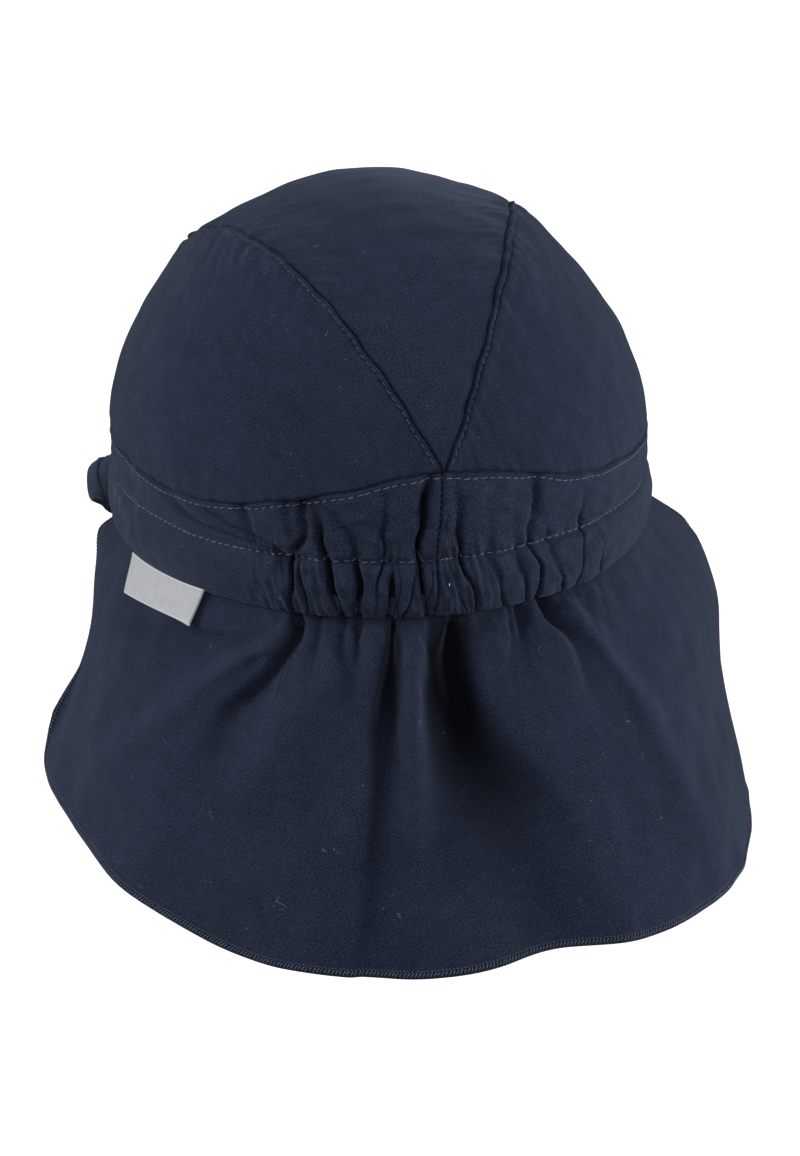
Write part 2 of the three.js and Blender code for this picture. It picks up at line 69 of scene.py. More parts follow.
lens = bpy.data.cameras.new("camera")
lens.sensor_width = 36
lens.lens = lens.sensor_width * PIXELS_PER_RADIAN / IMAGE_HEIGHT_PIXELS
lens.clip_start = 0.05
lens.clip_end = 50
camera = bpy.data.objects.new("camera", lens)
stand = Matrix.Translation(CAMERA_AIM + back * CAMERA_DISTANCE)
camera.matrix_world = stand @ (facing @ turn_to_centre).to_4x4()
bpy.context.scene.collection.objects.link(camera)
bpy.context.scene.camera = camera

# Studio
# A white room: a dim even surround, a broad soft light on each side that brightens the cloth where
# it turns away, and a third from the camera's side, a little above. The floor lies well below, as
# the cap is held up the way a head holds it; it glows enough to stay white and lights nothing.
SURROUND_STRENGTH = 0.2
BACKGROUND_STRENGTH = 1
FLOOR_HEIGHT = -0.6
FLOOR_SIZE = 40
FLOOR_TONE = 0.93
FLOOR_GLOW = 0.4
SOFT_LIGHTS = [
    {"name": "left_light", "left": 1.0, "near": 0.03, "up": 0.55, "spread": 34, "strength": 2.2},
    {"name": "right_light", "left": -1.0, "near": 0.02, "up": 0.16, "spread": 34, "strength": 3.0},
    {"name": "camera_side_light", "left": 0.0, "near": 0.95, "up": 0.42, "spread": 40, "strength": 1.1},
]

bpy.context.scene.view_settings.view_transform = "Standard"
world = bpy.data.worlds.new("surround")
world.use_nodes = True
backdrop = world.node_tree.nodes["Background"]
backdrop.inputs["Color"].default_value = (1, 1, 1, 1)
seen_directly = world.node_tree.nodes.new("ShaderNodeLightPath").outputs["Is Camera Ray"]
brightness = world.node_tree.nodes.new("ShaderNodeMapRange")
brightness.inputs["To Min"].default_value = SURROUND_STRENGTH
brightness.inputs["To Max"].default_value = BACKGROUND_STRENGTH
world.node_tree.links.new(seen_directly, brightness.inputs["Value"])
world.node_tree.links.new(brightness.outputs["Result"], backdrop.inputs["Strength"])
bpy.context.scene.world = world
near = Vector((back.x, back.y, 0)).normalized()
for soft in SOFT_LIGHTS:
    light = bpy.data.lights.new(soft["name"], "SUN")
    light.angle = math.radians(soft["spread"])
    light.energy = soft["strength"]
    lamp = bpy.data.objects.new(soft["name"], light)
    towards = near * soft["near"] - level_right * soft["left"] + Vector((0, 0, soft["up"]))
    lamp.matrix_world = towards.to_track_quat("Z", "Y").to_matrix().to_4x4()
    bpy.context.scene.collection.objects.link(lamp)

half_floor = FLOOR_SIZE / 2
signs = ((-1, -1), (1, -1), (1, 1), (-1, 1))
floor_corners = [(half_floor * x, half_floor * y, FLOOR_HEIGHT) for x, y in signs]
floor_mesh = bpy.data.meshes.new("floor")
floor_mesh.from_pydata(floor_corners, [], [(0, 1, 2, 3)])
floor_paint = bpy.data.materials.new("pale_floor")
floor_paint.use_nodes = True
floor_shader = floor_paint.node_tree.nodes["Principled BSDF"]
floor_looks = {"Base Color": (FLOOR_TONE, FLOOR_TONE, FLOOR_TONE, 1), "Roughness": 0.9,
               "Specular IOR Level": 0.1, "Emission Color": (1, 1, 1, 1), "Emission Strength": FLOOR_GLOW}
for socket_name, value in floor_looks.items():
    floor_shader.inputs[socket_name].default_value = value
floor_mesh.materials.append(floor_paint)
floor = bpy.data.objects.new("floor", floor_mesh)
floor.visible_diffuse = False
floor.visible_glossy = False
bpy.context.scene.collection.objects.link(floor)

# Crown
# Three panels of thin navy cotton: a long strip that starts as a point at the centre back and
# widens over the top to the front, and a rounded panel on each side. The side panels are sewn to
# the strip and their seam allowance is top-stitched down, which raises a puckered ridge.
HALF_WIDTH = 77.8
HALF_LENGTH = 89
CROWN_HEIGHT = 72.5
CROWN_FULLNESS = 1.8
BAND_TOP = 28
BACK_RISE = 12.3
BACK_RISE_SPREAD = 31
SEAM_SAG = 2
SEAM_SAG_ANGLE = 60
SEAM_SAG_SPREAD = 16
SEAM_WAVER = 0.2
STRIP_HALF_WIDTH = 48
STRIP_WIDEN_ANGLE = 120
SEAM_LIFT = 2
SEAM_LIFT_SPREAD = 12.7
CLOTH = 0.9
MM = 0.001
NOISE_WAVES = 16


def level_at(height):
    """How far out the crown reaches at a height, both as shares: with the fullness as the power of
    each, they add up to 1."""
    return (1 - np.abs(height) ** CROWN_FULLNESS) ** (1 / CROWN_FULLNESS)


tip_height = BACK_RISE / CROWN_HEIGHT
SEAM_TIP = math.degrees(math.atan2(tip_height, level_at(tip_height)))


def through(places, values, at):
    """Smooth curve through the values at those places: cubic pieces whose slope at a place is the
    harmonic mean of the slopes on its two sides, so that it never overshoots. With several rows of
    values there is a curve for each row."""
    places = np.asarray(places, float)
    values = np.asarray(values, float)
    span = np.diff(places)
    rise = np.diff(values, axis=-1) / span
    before, beyond = rise[..., :-1], rise[..., 1:]
    same_way = before * beyond > 0
    inner = np.where(same_way, 2 * before * beyond / np.where(same_way, before + beyond, 1), 0)
    slope = np.concatenate([rise[..., :1], inner, rise[..., -1:]], axis=-1)
    at = np.clip(at, places[0], places[-1])
    i = np.clip(np.searchsorted(places, at, side="right") - 1, 0, len(span) - 1)
    t = (at - places[i]) / span[i]
    return ((2 * t**3 - 3 * t**2 + 1) * values[..., i] + (t**3 - 2 * t**2 + t) * span[i] * slope[..., i]
            + (3 * t**2 - 2 * t**3) * values[..., i + 1] + (t**3 - t**2) * span[i] * slope[..., i + 1])


def smooth(value):
    """Rises from 0 to 1 with level ends, as 3t² - 2t³."""
    t = np.clip(value, 0, 1)
    return t * t * (3 - 2 * t)


def bump_at(distance, centre, spread):
    """A bell of height 1 at the centre: e to the minus ((distance - centre) / spread) squared."""
    return np.exp(-(((distance - centre) / spread) ** 2))


def unit(vectors):
    """Each vector divided by its length."""
    return vectors / np.maximum(np.linalg.norm(vectors, axis=-1, keepdims=True), 1e-9)


def soft_noise(points, pitch, seed):
    """Gentle unevenness, mostly between -1 and 1: a fifth of the sum of sixteen sine waves that run
    in random directions, with wavelengths round the pitch."""
    draw = np.random.default_rng(seed)
    total = np.zeros(points.shape[:-1])
    for _ in range(NOISE_WAVES):
        way = unit(draw.normal(size=points.shape[-1]))
        wave = pitch * draw.uniform(0.7, 1.5)
        total += np.sin(points @ way * (2 * math.pi / wave) + draw.uniform(0, 2 * math.pi))
    return total / 5


def along_rows(points):
    """Distance travelled along each row of a grid, from its first point."""
    steps = np.linalg.norm(np.diff(points, axis=1), axis=-1)
    return np.concatenate([np.zeros((len(points), 1)), np.cumsum(steps, axis=1)], axis=1)


def along_line(line):
    """Distance travelled along one line of points, from its first."""
    return along_rows(line[None])[0]


def paired(first, second):
    """Two numbers for each point of a grid, such as its place on the cloth. Each may be a row or a
    column, which is repeated over the grid."""
    return np.stack(np.broadcast_arrays(first, second), axis=-1)


def mesh_object(name, points, faces, cloth_uv=None):
    """Points in millimetres and faces, as a smooth mesh in metres. cloth_uv gives each point's place
    on the flat cloth, in millimetres."""
    mesh = bpy.data.meshes.new(name)
    mesh.from_pydata((points.reshape(-1, 3) * MM).tolist(), [], faces)
    mesh.polygons.foreach_set("use_smooth", np.ones(len(faces), bool))
    if cloth_uv is not None:
        corners = np.concatenate(faces)
        layer = mesh.uv_layers.new(name="cloth")
        layer.data.foreach_set("uv", (cloth_uv.reshape(-1, 2) * MM)[corners].ravel())
    mesh.update()
    made = bpy.data.objects.new(name, mesh)
    bpy.context.scene.collection.objects.link(made)
    return made


def cloth_object(name, points, cloth_uv, middle=(0, 0, 20), painted_shading=None):
    """The mesh of a grid of points, whose faces look away from the middle. The painted shading runs
    from 1, shade painted in the depth of a fold, to -1, a highlight painted on the crest of a ridge."""
    rows, columns = points.shape[:2]
    index = np.arange(rows * columns).reshape(rows, columns)
    corners = [index[:-1, :-1], index[:-1, 1:], index[1:, 1:], index[1:, :-1]]
    quads = np.stack(corners, axis=-1).reshape(-1, 4)
    facing_out = np.cross(points[:-1, 1:] - points[:-1, :-1], points[1:, :-1] - points[:-1, :-1])
    if np.sum(facing_out * (points[:-1, :-1] - np.array(middle))) < 0:
        quads = quads[:, ::-1]
    made = mesh_object(name, points, quads.tolist(), cloth_uv)
    if painted_shading is not None:
        attribute = made.data.attributes.new("painted_shading", "FLOAT", "POINT")
        attribute.data.foreach_set("value", np.clip(painted_shading, -1, 1).ravel())
    return made


def give_thickness(cloth, thickness):
    """Grows the wall inwards from the outer face."""
    wall = cloth.modifiers.new("wall", "SOLIDIFY")
    wall.thickness = thickness * MM
    wall.offset = -1
    wall.use_even_offset = False
    return cloth


class Wire:
    """One output of a node tree. Sums with numbers and other outputs add Math nodes."""

    def __init__(self, tree, socket=None):
        self.tree = tree
        self.socket = socket

    def node(self, kind, settings, sockets, output=0):
        """Adds a node of that type: its settings first, then its sockets' values or links, which may
        go by a socket's name or identifier. Gives the wanted output."""
        made = self.tree.nodes.new(kind)
        for name, value in settings.items():
            setattr(made, name, value)
        by_name = {}
        for socket in made.inputs:
            by_name.setdefault(socket.name, socket)
            by_name[socket.identifier] = socket
        for name, value in sockets.items():
            if isinstance(value, Wire):
                self.tree.links.new(value.socket, by_name[name])
            else:
                by_name[name].default_value = value
        return Wire(self.tree, made.outputs[output])

    def math(self, operation, first, second=0.0):
        """A Math node of two values."""
        return self.node("ShaderNodeMath", {"operation": operation}, {"Value": first, "Value_001": second})

    def noise(self, scale, detail, **more):
        """A Noise node that is read at this wire's place."""
        sockets = {"Vector": self, "Scale": scale, "Detail": detail, **more}
        return self.node("ShaderNodeTexNoise", {}, sockets)

    def ranged(self, low, high, to_low=0.0, to_high=1.0):
        """A Map Range node: low becomes to_low and high becomes to_high, and nothing passes them."""
        ends = {"From Min": low, "From Max": high, "To Min": to_low, "To Max": to_high}
        return self.node("ShaderNodeMapRange", {}, {"Value": self, **ends})

    def bump(self, strength, distance):
        """A Bump node whose height is this wire; the distance is in millimetres."""
        depth = {"Strength": strength, "Distance": distance * MM}
        return self.node("ShaderNodeBump", {}, {**depth, "Height": self})

    def __add__(self, other):
        return self.math("ADD", self, other)

    def __radd__(self, other):
        return self.math("ADD", other, self)

    def __sub__(self, other):
        return self.math("SUBTRACT", self, other)

    def __rsub__(self, other):
        return self.math("SUBTRACT", other, self)

    def __mul__(self, other):
        return self.math("MULTIPLY", self, other)

    def __rmul__(self, other):
        return self.math("MULTIPLY", other, self)


def mixed(factor, low, high):
    """A Mix node between two colours; the factor is a Wire."""
    colours = {"Factor_Float": factor, "A_Color": low, "B_Color": high}
    return factor.node("ShaderNodeMix", {"data_type": "RGBA"}, colours, output=2)


def new_material(name):
    """An empty material and a Wire on its tree."""
    material = bpy.data.materials.new(name)
    material.use_nodes = True
    return material, Wire(material.node_tree)


def finish_material(material, varying, constant):
    """Puts varying wires and constant values on the material's shader."""
    shader = material.node_tree.nodes["Principled BSDF"]
    for name, wire in varying.items():
        material.node_tree.links.new(wire.socket, shader.inputs[name])
    for name, value in constant.items():
        shader.inputs[name].default_value = value
    return material


# The first two navies are the cloth's own range of tone. The third is the paler navy of slubs and also of
# the highlights painted on crests; the fourth is the shade painted into folds, seams and gathers.
NAVY_LIGHT = (0.0385, 0.0515, 0.0950, 1)
NAVY_DARK = (0.0035, 0.0057, 0.0150, 1)
NAVY_SLUB_AND_HIGHLIGHT = (0.0620, 0.0800, 0.1280, 1)
NAVY_PAINTED_SHADE = (0.0014, 0.0018, 0.0040, 1)
LINT = (0.25, 0.28, 0.34, 1)
WEAVE_PITCH = 0.42


def navy_cotton(name, seed, lightness=1.0):
    """Plain-woven cotton. Slubs, mottling, specks and fibres of lint vary the colour. Shade is
    painted into folds, seams and gathers and highlights onto crests, as each point's painted shading says."""
    material, wire = new_material(name)
    cloth = wire.node("ShaderNodeUVMap", {"uv_map": "cloth"}, {})
    moved = wire.node("ShaderNodeMapping", {}, {"Vector": cloth, "Location": (0.13 * seed, 0.29 * seed, 0)})
    parts = wire.node("ShaderNodeSeparateXYZ", {}, {"Vector": moved})
    along = Wire(parts.tree, parts.socket.node.outputs[1])
    waver = moved.noise(700, 2)
    turn = 2 * math.pi / (WEAVE_PITCH * MM)
    warp = wire.math("SINE", parts * turn + waver * 5.0)
    weft = wire.math("SINE", along * turn + waver * 5.0)
    weave = warp * weft * 0.5 + 0.5
    fuzz = moved.noise(2100, 4, Roughness=0.8)
    mottle = moved.noise(190, 5, Roughness=0.7)
    patches = moved.noise(30, 3)
    tone = weave * 0.4 + fuzz * 3.2 + mottle * 0.45 + patches * 0.25 - 1.7
    tone = wire.node("ShaderNodeClamp", {}, {"Value": tone})
    dim, lit = ((*(lightness * part for part in navy[:3]), 1) for navy in (NAVY_DARK, NAVY_LIGHT))
    colour = mixed(tone, dim, lit)
    slub = wire.node("ShaderNodeMapping", {}, {"Vector": moved, "Scale": (1500, 420, 1)})
    colour = mixed(slub.noise(1, 2).ranged(0.62, 0.82, to_high=0.4), colour, NAVY_SLUB_AND_HIGHLIGHT)
    cells = wire.node("ShaderNodeTexVoronoi", {}, {"Vector": moved, "Scale": 360.0, "Randomness": 1.0})
    specks = cells.ranged(0.08, 0.04, to_high=0.75) * mottle.ranged(0.53, 0.62)
    colour = mixed(specks, colour, LINT)
    from_curl = wire.math("ABSOLUTE", moved.noise(85, 1, Distortion=0.8) - 0.5)
    fibres = from_curl.ranged(0.005, 0.002, to_high=0.3) * moved.noise(210, 1).ranged(0.68, 0.72)
    colour = mixed(fibres, colour, LINT)
    # Painted shade: towards near-black navy in folds, seams and gathers. Painted highlight: pale navy,
    # flecked by the fuzz, on crests.
    painted_shading = wire.node("ShaderNodeAttribute", {"attribute_name": "painted_shading"}, {}, output=2)
    colour = mixed(painted_shading.ranged(0, 1, to_high=0.94), colour, NAVY_PAINTED_SHADE)
    colour = mixed(painted_shading.ranged(0, -1, to_high=0.85) * fuzz, colour, NAVY_SLUB_AND_HIGHLIGHT)
    height = weave * 0.5 + fuzz * 0.9 + mottle * 0.8
    rough = fuzz.ranged(0, 1, 0.78, 0.95)
    varying = {"Base Color": colour, "Roughness": rough, "Normal": height.bump(0.8, 0.2)}
    sheen = {"Sheen Weight": 0.17, "Sheen Roughness": 0.25, "Sheen Tint": (0.62, 0.75, 1, 1)}
    return finish_material(material, varying, {"Specular IOR Level": 0.08, **sheen})


def crown_seam_height(angle):
    """Height of the seam between crown and band: level, with a bell-shaped rise at the centre back,
    a small sag on the wearer's left and the slight waver of a sewn line."""
    turn = np.radians(angle)
    waver = SEAM_WAVER * (np.sin(turn * 14) + 0.7 * np.sin(turn * 31 + 1))
    sag = SEAM_SAG * bump_at(angle, SEAM_SAG_ANGLE, SEAM_SAG_SPREAD)
    return BAND_TOP + BACK_RISE * bump_at(angle, 0, BACK_RISE_SPREAD) - sag + waver


def strip_half_width(turn):
    """Half the strip's width at a turn up and over from the back: a quarter sine, then steady, with
    the waver of its sewing."""
    waver = SEAM_WAVER * (np.sin(0.71 * turn) + np.sin(0.31 * turn + 2)) * smooth((turn - SEAM_TIP) / 15)
    widened = np.clip((turn - SEAM_TIP) / STRIP_WIDEN_ANGLE, 0, 1)
    return STRIP_HALF_WIDTH * np.sin(math.pi / 2 * widened) + waver


def crown_point(direction):
    """Point of the crown in a direction, and its outward normal: an egg-shaped dome whose sides
    obey level^fullness + height^fullness = 1, raised softly along the two panel seams."""
    x, y, z = np.moveaxis(direction, -1, 0)
    reach = (np.hypot(x, y) ** CROWN_FULLNESS + np.abs(z) ** CROWN_FULLNESS) ** (-1 / CROWN_FULLNESS)
    turn = np.degrees(np.arctan2(z, y))
    away = (HALF_WIDTH * np.abs(x) * reach - strip_half_width(turn)) / SEAM_LIFT_SPREAD
    along = np.clip((turn - SEAM_TIP) / (180 - SEAM_TIP), 0, 1)
    lift = SEAM_LIFT * np.exp(-away * away) * np.maximum(np.sin(math.pi * along), 0) ** 1.5
    normal = unit(np.stack([x / HALF_WIDTH, y / HALF_LENGTH, z / CROWN_HEIGHT], axis=-1))
    place = direction * reach[..., None] * np.array([HALF_WIDTH, HALF_LENGTH, CROWN_HEIGHT])
    place[..., 2] += BAND_TOP
    return place + normal * lift[..., None], normal


def strip_direction(turn, side_width):
    """Direction at a turn up and over from the back and a width to one side."""
    tilt = np.arcsin(np.clip(side_width / HALF_WIDTH, -1, 1))
    turn = np.radians(turn)
    parts = (np.sin(tilt) + 0 * turn, np.cos(turn) * np.cos(tilt), np.sin(turn) * np.cos(tilt))
    return np.stack(parts, axis=-1)


def seam_direction(angle, side):
    """Direction of a point of the crown's lower seam, on one side; the angle grows forwards."""
    height = (crown_seam_height(side * angle) - BAND_TOP) / CROWN_HEIGHT
    level = level_at(height)
    angle = np.radians(angle)
    return unit(np.stack([level * np.sin(angle), level * np.cos(angle), height], axis=-1))


def crowded_ends(count, crowding):
    """Shares from 0 to 1 that lie closer together at both ends: t minus a sine of 2 pi t."""
    t = np.linspace(0, 1, count)
    return t - crowding * np.sin(2 * math.pi * t) / (2 * math.pi)


PANEL_ROWS = 250
PANEL_COLUMNS = 88
SEAM_FOLD_DEPTH = 0.9
SEAM_FOLD_WIDTH = 0.4
RIDGE_HEIGHT = 0.5
RIDGE_FROM_SEAM = 0.95
RIDGE_SPREAD = 0.5
STITCH_GROOVE = 0.45
STITCH_GROOVE_SPREAD = 0.35
STITCH_FROM_SEAM = 1.75
ALLOWANCE_WIDTH = 6
ALLOWANCE_LIFT = 0.3
PUCKER_PITCH = 5.2
PINCH_PITCH = 11
PULL_PITCH = 4
PULLED_AT = 88
PULLED_SPREAD = 34
# Strength of the highlight painted on wrinkle crests; spread of the shade painted along seams.
PAINTED_CREST_HIGHLIGHT = 1.2
PAINTED_SEAM_SHADE_SPREAD = 0.8
FLANGE_DEPTH = 2.4
SIDE_FULL_WIDTH = 14
CENTRE_FULL_WIDTH = 20

seam_shares = crowded_ends(PANEL_ROWS, 0.35)
seam_turns = SEAM_TIP + (180 - SEAM_TIP) * seam_shares
front_angle = 180 - math.degrees(math.asin(STRIP_HALF_WIDTH / HALF_WIDTH))


def with_flanges(points, normals):
    """Adds a column at each end of the rows that turns into the cap, as a seam allowance does."""
    inwards = -normals * FLANGE_DEPTH
    return np.concatenate([points[:, :1] + inwards[:, :1], points, points[:, -1:] + inwards[:, -1:]], axis=1)


def stretch_uv(grid):
    """The same extra columns for a grid of places on the cloth."""
    reach = np.array([FLANGE_DEPTH, 0])
    return np.concatenate([grid[:, :1] - reach, grid, grid[:, -1:] + reach], axis=1)


def stretch_edge(grid):
    """The same extra columns for a grid of numbers, which they repeat."""
    return np.concatenate([grid[:, :1], grid, grid[:, -1:]], axis=1)


def painted_crest_highlights(pull, from_seam, reach, near_top):
    """Highlight painted on the crests of the pulled wrinkles: less the farther from the seam."""
    return PAINTED_CREST_HIGHLIGHT * smooth((pull - 0.7) / 0.4) * np.exp(-from_seam / reach) * near_top


def side_panel(side):
    """Side panel's outer face. Each row runs from the panel seam down to the crown's lower seam,
    along the blend of the two seams' directions. At the panel seam the cloth is folded in, then
    rises in a ridge, is pinched by the stitches and lies over its own allowance. Near the top of
    the head the seam pulls fine wrinkles, on whose crests highlights are painted. Shade is painted
    along both seams."""
    top = strip_direction(seam_turns, strip_half_width(seam_turns))[:, None]
    low = seam_direction(front_angle * seam_shares, side)[:, None]
    step = crowded_ends(PANEL_COLUMNS, 0.78)[None, :, None]
    place, normal = crown_point(unit(top * (1 - step) + low * step))
    from_top = along_rows(place)
    length = from_top[:, -1:]
    from_low = length - from_top
    full = np.clip(length / SIDE_FULL_WIDTH, 0, 1)
    along = np.broadcast_to(along_line(place[:, 0])[:, None], from_top.shape)
    track = paired(along, 40 * side)
    pucker = soft_noise(track, PUCKER_PITCH, 3 + side)
    pinch = soft_noise(track, PINCH_PITCH, 7 + side)
    pull = soft_noise(paired(along + 0.3 * from_top, 0.3 * from_top), PULL_PITCH, 15 + side)
    near_top = bump_at(seam_turns[:, None], PULLED_AT, PULLED_SPREAD)
    ridge = bump_at(from_top, RIDGE_FROM_SEAM + 0.15 * pucker, RIDGE_SPREAD)
    doubled = (1 - smooth((from_top - ALLOWANCE_WIDTH + 1.5) / 2)) * smooth((from_top - 2) / 1.2)
    height = (
        -SEAM_FOLD_DEPTH * bump_at(from_top, 0, SEAM_FOLD_WIDTH)
        + RIDGE_HEIGHT * (1.1 + 0.9 * pinch + 0.6 * pucker) * ridge * full
        - STITCH_GROOVE * bump_at(from_top, STITCH_FROM_SEAM, STITCH_GROOVE_SPREAD) * full
        + ALLOWANCE_LIFT * doubled * full
        + 0.5 * pucker * np.exp(-from_top / 6) * smooth((from_top - 1) / 2) * full
        + 0.26 * pull * np.exp(-from_top / 18) * smooth((from_top - 2) / 4) * near_top
        - SEAM_FOLD_DEPTH * bump_at(from_low, 0, SEAM_FOLD_WIDTH)
        + 0.22 * pucker * np.exp(-from_low / 5)
        + 0.22 * soft_noise(place, 38, 21 + side)
        + 0.2 * soft_noise(place, 12, 25 + side)
    )
    shape = with_flanges(place + normal * height[..., None], normal)
    flat = stretch_uv(paired(along, from_top))
    if side < 0:
        shape = shape * np.array([-1, 1, 1])
    # Highlights painted on the wrinkle crests, and shade painted along the panel seam and the lower seam.
    crest_highlight = painted_crest_highlights(pull, from_top, 16, near_top)
    painted_seam_shade = (0.6 + 0.3 * pinch) * bump_at(from_top, 0, PAINTED_SEAM_SHADE_SPREAD)
    painted_shading = painted_seam_shade - crest_highlight + 0.7 * bump_at(from_low, 0, PAINTED_SEAM_SHADE_SPREAD)
    return shape, flat, place, normal, from_top, stretch_edge(painted_shading)


def centre_panel():
    """Centre panel's outer face: rows up and over the head, columns from one panel seam to the
    other. The edges fold in; beside them the cloth is puckered by the stitches of its neighbours."""
    across = 2 * crowded_ends(PANEL_COLUMNS, 0.7)[None, :] - 1
    turn = seam_turns[:, None]
    place, normal = crown_point(strip_direction(turn, -strip_half_width(turn) * across))
    travelled = along_rows(place)
    edge = np.minimum(travelled, travelled[:, -1:] - travelled)
    along = np.broadcast_to(along_line(place[:, PANEL_COLUMNS // 2])[:, None], edge.shape)
    from_front = along[-1:] - along
    full = np.clip(travelled[:, -1:] / CENTRE_FULL_WIDTH, 0, 1)
    which_edge = 60 * np.sign(across)
    pucker = soft_noise(paired(along, which_edge), 6.5, 12)
    pull = soft_noise(paired(along + 0.4 * edge, which_edge + 0.3 * edge), PULL_PITCH, 17)
    near_top = bump_at(turn, PULLED_AT, PULLED_SPREAD)
    height = (
        -SEAM_FOLD_DEPTH * bump_at(edge, 0, SEAM_FOLD_WIDTH)
        - 0.25 * bump_at(edge, 0, 2.2) * full
        + 0.4 * pucker * np.exp(-edge / 6) * smooth(edge / 2) * full
        + 0.24 * pull * np.exp(-edge / 14) * smooth(edge / 3) * near_top
        - SEAM_FOLD_DEPTH * bump_at(from_front, 0, SEAM_FOLD_WIDTH)
        + 0.25 * soft_noise(place, 42, 31) * full
        + 0.2 * soft_noise(place, 13, 32) * full
    )
    shape = with_flanges(place + normal * height[..., None], normal)
    flat = stretch_uv(paired(travelled - travelled[:, -1:] / 2, along))
    # Highlights painted on the wrinkle crests near the top, and shade painted along both edges.
    crest_highlight = painted_crest_highlights(pull, edge, 14, near_top)
    return shape, flat, stretch_edge(0.6 * bump_at(edge, 0, PAINTED_SEAM_SHADE_SPREAD) - crest_highlight)


crown_cloth = navy_cotton("crown_cotton", 1)
shape, flat, painted_shading = centre_panel()
centre_piece = give_thickness(cloth_object("crown_centre", shape, flat, painted_shading=painted_shading), CLOTH)
centre_piece.data.materials.append(crown_cloth)
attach(centre_piece, "root")
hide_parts("crown_centre_panel")

side_cloth = {1: navy_cotton("left_cotton", 2), -1: navy_cotton("right_cotton", 3)}
side_rows = {}
for side, word in ((1, "left"), (-1, "right")):
    shape, flat, place, normal, from_top, painted_shading = side_panel(side)
    piece = give_thickness(cloth_object(f"crown_{word}", shape, flat, painted_shading=painted_shading), CLOTH)
    piece.data.materials.append(side_cloth[side])
    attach(piece, "root")
    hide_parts(f"crown_{word}_panel")
    side_rows[side] = (place, normal, from_top)

# Head band with its elastic casing
# One strip of the same cotton all round the head, sewn to the crown above and doubled below, where
# a line of stitches closes the casing. Elastic in the back of the casing draws it into deep gathers.
CASING_HEIGHT = 15.5
CASING_BULGE = 1.3
CASING_PUFF = 0.5
CASING_GROOVE = 0.7
BACK_SEAM_DEPTH = 1.3
BACK_SEAM_SPREAD = 0.4
BAND_CLOTH = 1.1
GATHERED_TO = 46
GATHER_FADE = 12
SIDE_WRINKLES_FROM = 60
SIDE_WRINKLES_TO = 105
SIDE_WRINKLE_PITCH = 3.4
PUFF_PITCH = 6
BROAD_PITCH = 30
DRAWN_PITCH = 3
FINE_ANGLE = 0.19
BAND_ROWS = 26
CASING_ROWS = 26
CURL_ROWS = 7
CURL_RADIUS = 1.0
INSIDE_CLIMB = 5
TOP_FLANGE_SHRINK = np.array([0.968, 0.972, 1])
PLAIN_COLUMNS = 200
MEASURED_COLUMN = 157
SCALLOP = 0.4
LEAN = 0.6
GATHER_WAVER = 0.25
TOPSTITCH_BELOW_SEAM = 1.6

# Each gather follows its own path up the wall: 0 is the casing's edge, 1 the stitch line, 2 the seam.
# In a row: its angles in degrees at the five places of GATHER_AT, the width of each flank, the half
# width of its floor, its depths at the five places, in millimetres, and how far up it is a slot.
GATHER_AT = [0, 0.5, 1, 1.5, 2]
GATHERS = [
    ((32.2, 31.8, 31.6, 29, 29.6), 1.8, 0.35, (4.2, 5.2, 4.6, 1.8, 2.8), 1.15),
    ((28.4, 29.5, 30.1, 30, 30), 1.2, 0.2, (2.4, 3, 1, 0, 0), 0.9),
    ((22.3, 23.4, 24.8, 26, 27.2), 1.9, 0.8, (4.6, 5.2, 4.4, 2.4, 0.4), 1.35),
    ((18.4, 18, 18.4, 20.6, 27), 1.8, 1, (3.6, 3.6, 2, 1.1, 0.5), 0.95),
    ((15.2, 14.6, 13.3, 12.7, 12.4), 1.4, 0.15, (0.3, 1.6, 2.6, 1.4, 0), 1.3),
    ((12.4, 11.3, 11.6, 11, 10), 1.6, 0.9, (3, 3, 0.7, 0.2, 0), 0.9),
    ((10.3, 10, 9.8, 9.5, 9), 1, 0.1, (2, 1.2, 0.6, 0, 0), 0.8),
    ((9.3, 7.6, 6.1, 5.6, 5), 1.3, 0.15, (2.6, 1.8, 1.2, 0, 0), 0.9),
    ((4.5, 5, 5.9, 5, 3.2), 1.8, 0.6, (5.4, 6.4, 6, 4.8, 1.4), 1.45),
    ((4.4, 3.9, 3.2, 3, 3), 0.9, 0.1, (2, 1.6, 0.4, 0, 0), 0.9),
    ((-6, -4.8, -2.7, -2.5, -2.4), 1.6, 0.3, (3.4, 2.8, 3.4, 1.4, 0.2), 1.2),
    ((-3.6, -1.8, -1.1, -1, -1), 1.3, 0.1, (1.7, 0.9, 0.3, 0, 0), 0.6),
    ((-12.2, -10.4, -9, -9, -9), 2.2, 0.2, (3.2, 1, 0.7, 0.2, 0), 0.5),
    ((-17.6, -16.2, -15.2, -15, -15), 2.2, 0.2, (1.6, 1.7, 0.9, 0.3, 0), 0.4),
    ((-19.8, -21, -18.3, -19.7, -22), 1.9, 0.25, (4.2, 3, 2, 1.2, 0.6), 1),
    ((-19.5, -19.5, -19.5, -20.2, -20), 2.6, 0, (0, 0, 0, 0.8, 1.8), 0),
    ((-27, -24.8, -23, -22, -22), 1.9, 0.15, (1.4, 1, 0.9, 0, 0), 0.4),
    ((-30.6, -31.8, -32.2, -33, -33), 1.5, 0.2, (1.3, 1.5, 2, 0.5, 0), 1.1),
    ((-38.6, -38, -37, -37, -37), 1.6, 0.15, (1.6, 0.4, 0.1, 0, 0), 0.5),
    ((34.6, 34.6, 34.4, 58, 63), 5, 0, (0, 0, 1.2, 1.4, 0), 0),
    ((33, 33, 33, 46, 56), 3, 0, (0, 0, 0.8, 1.5, 0), 0),
    ((38, 39, 39.4, 41.6, 43.2), 2.4, 0, (0, 0, 0.2, 1.4, 1.9), 0),
    ((31, 31, 30.6, 32, 33.6), 2.2, 0, (0, 0, 0, 1.2, 1.6), 0),
]
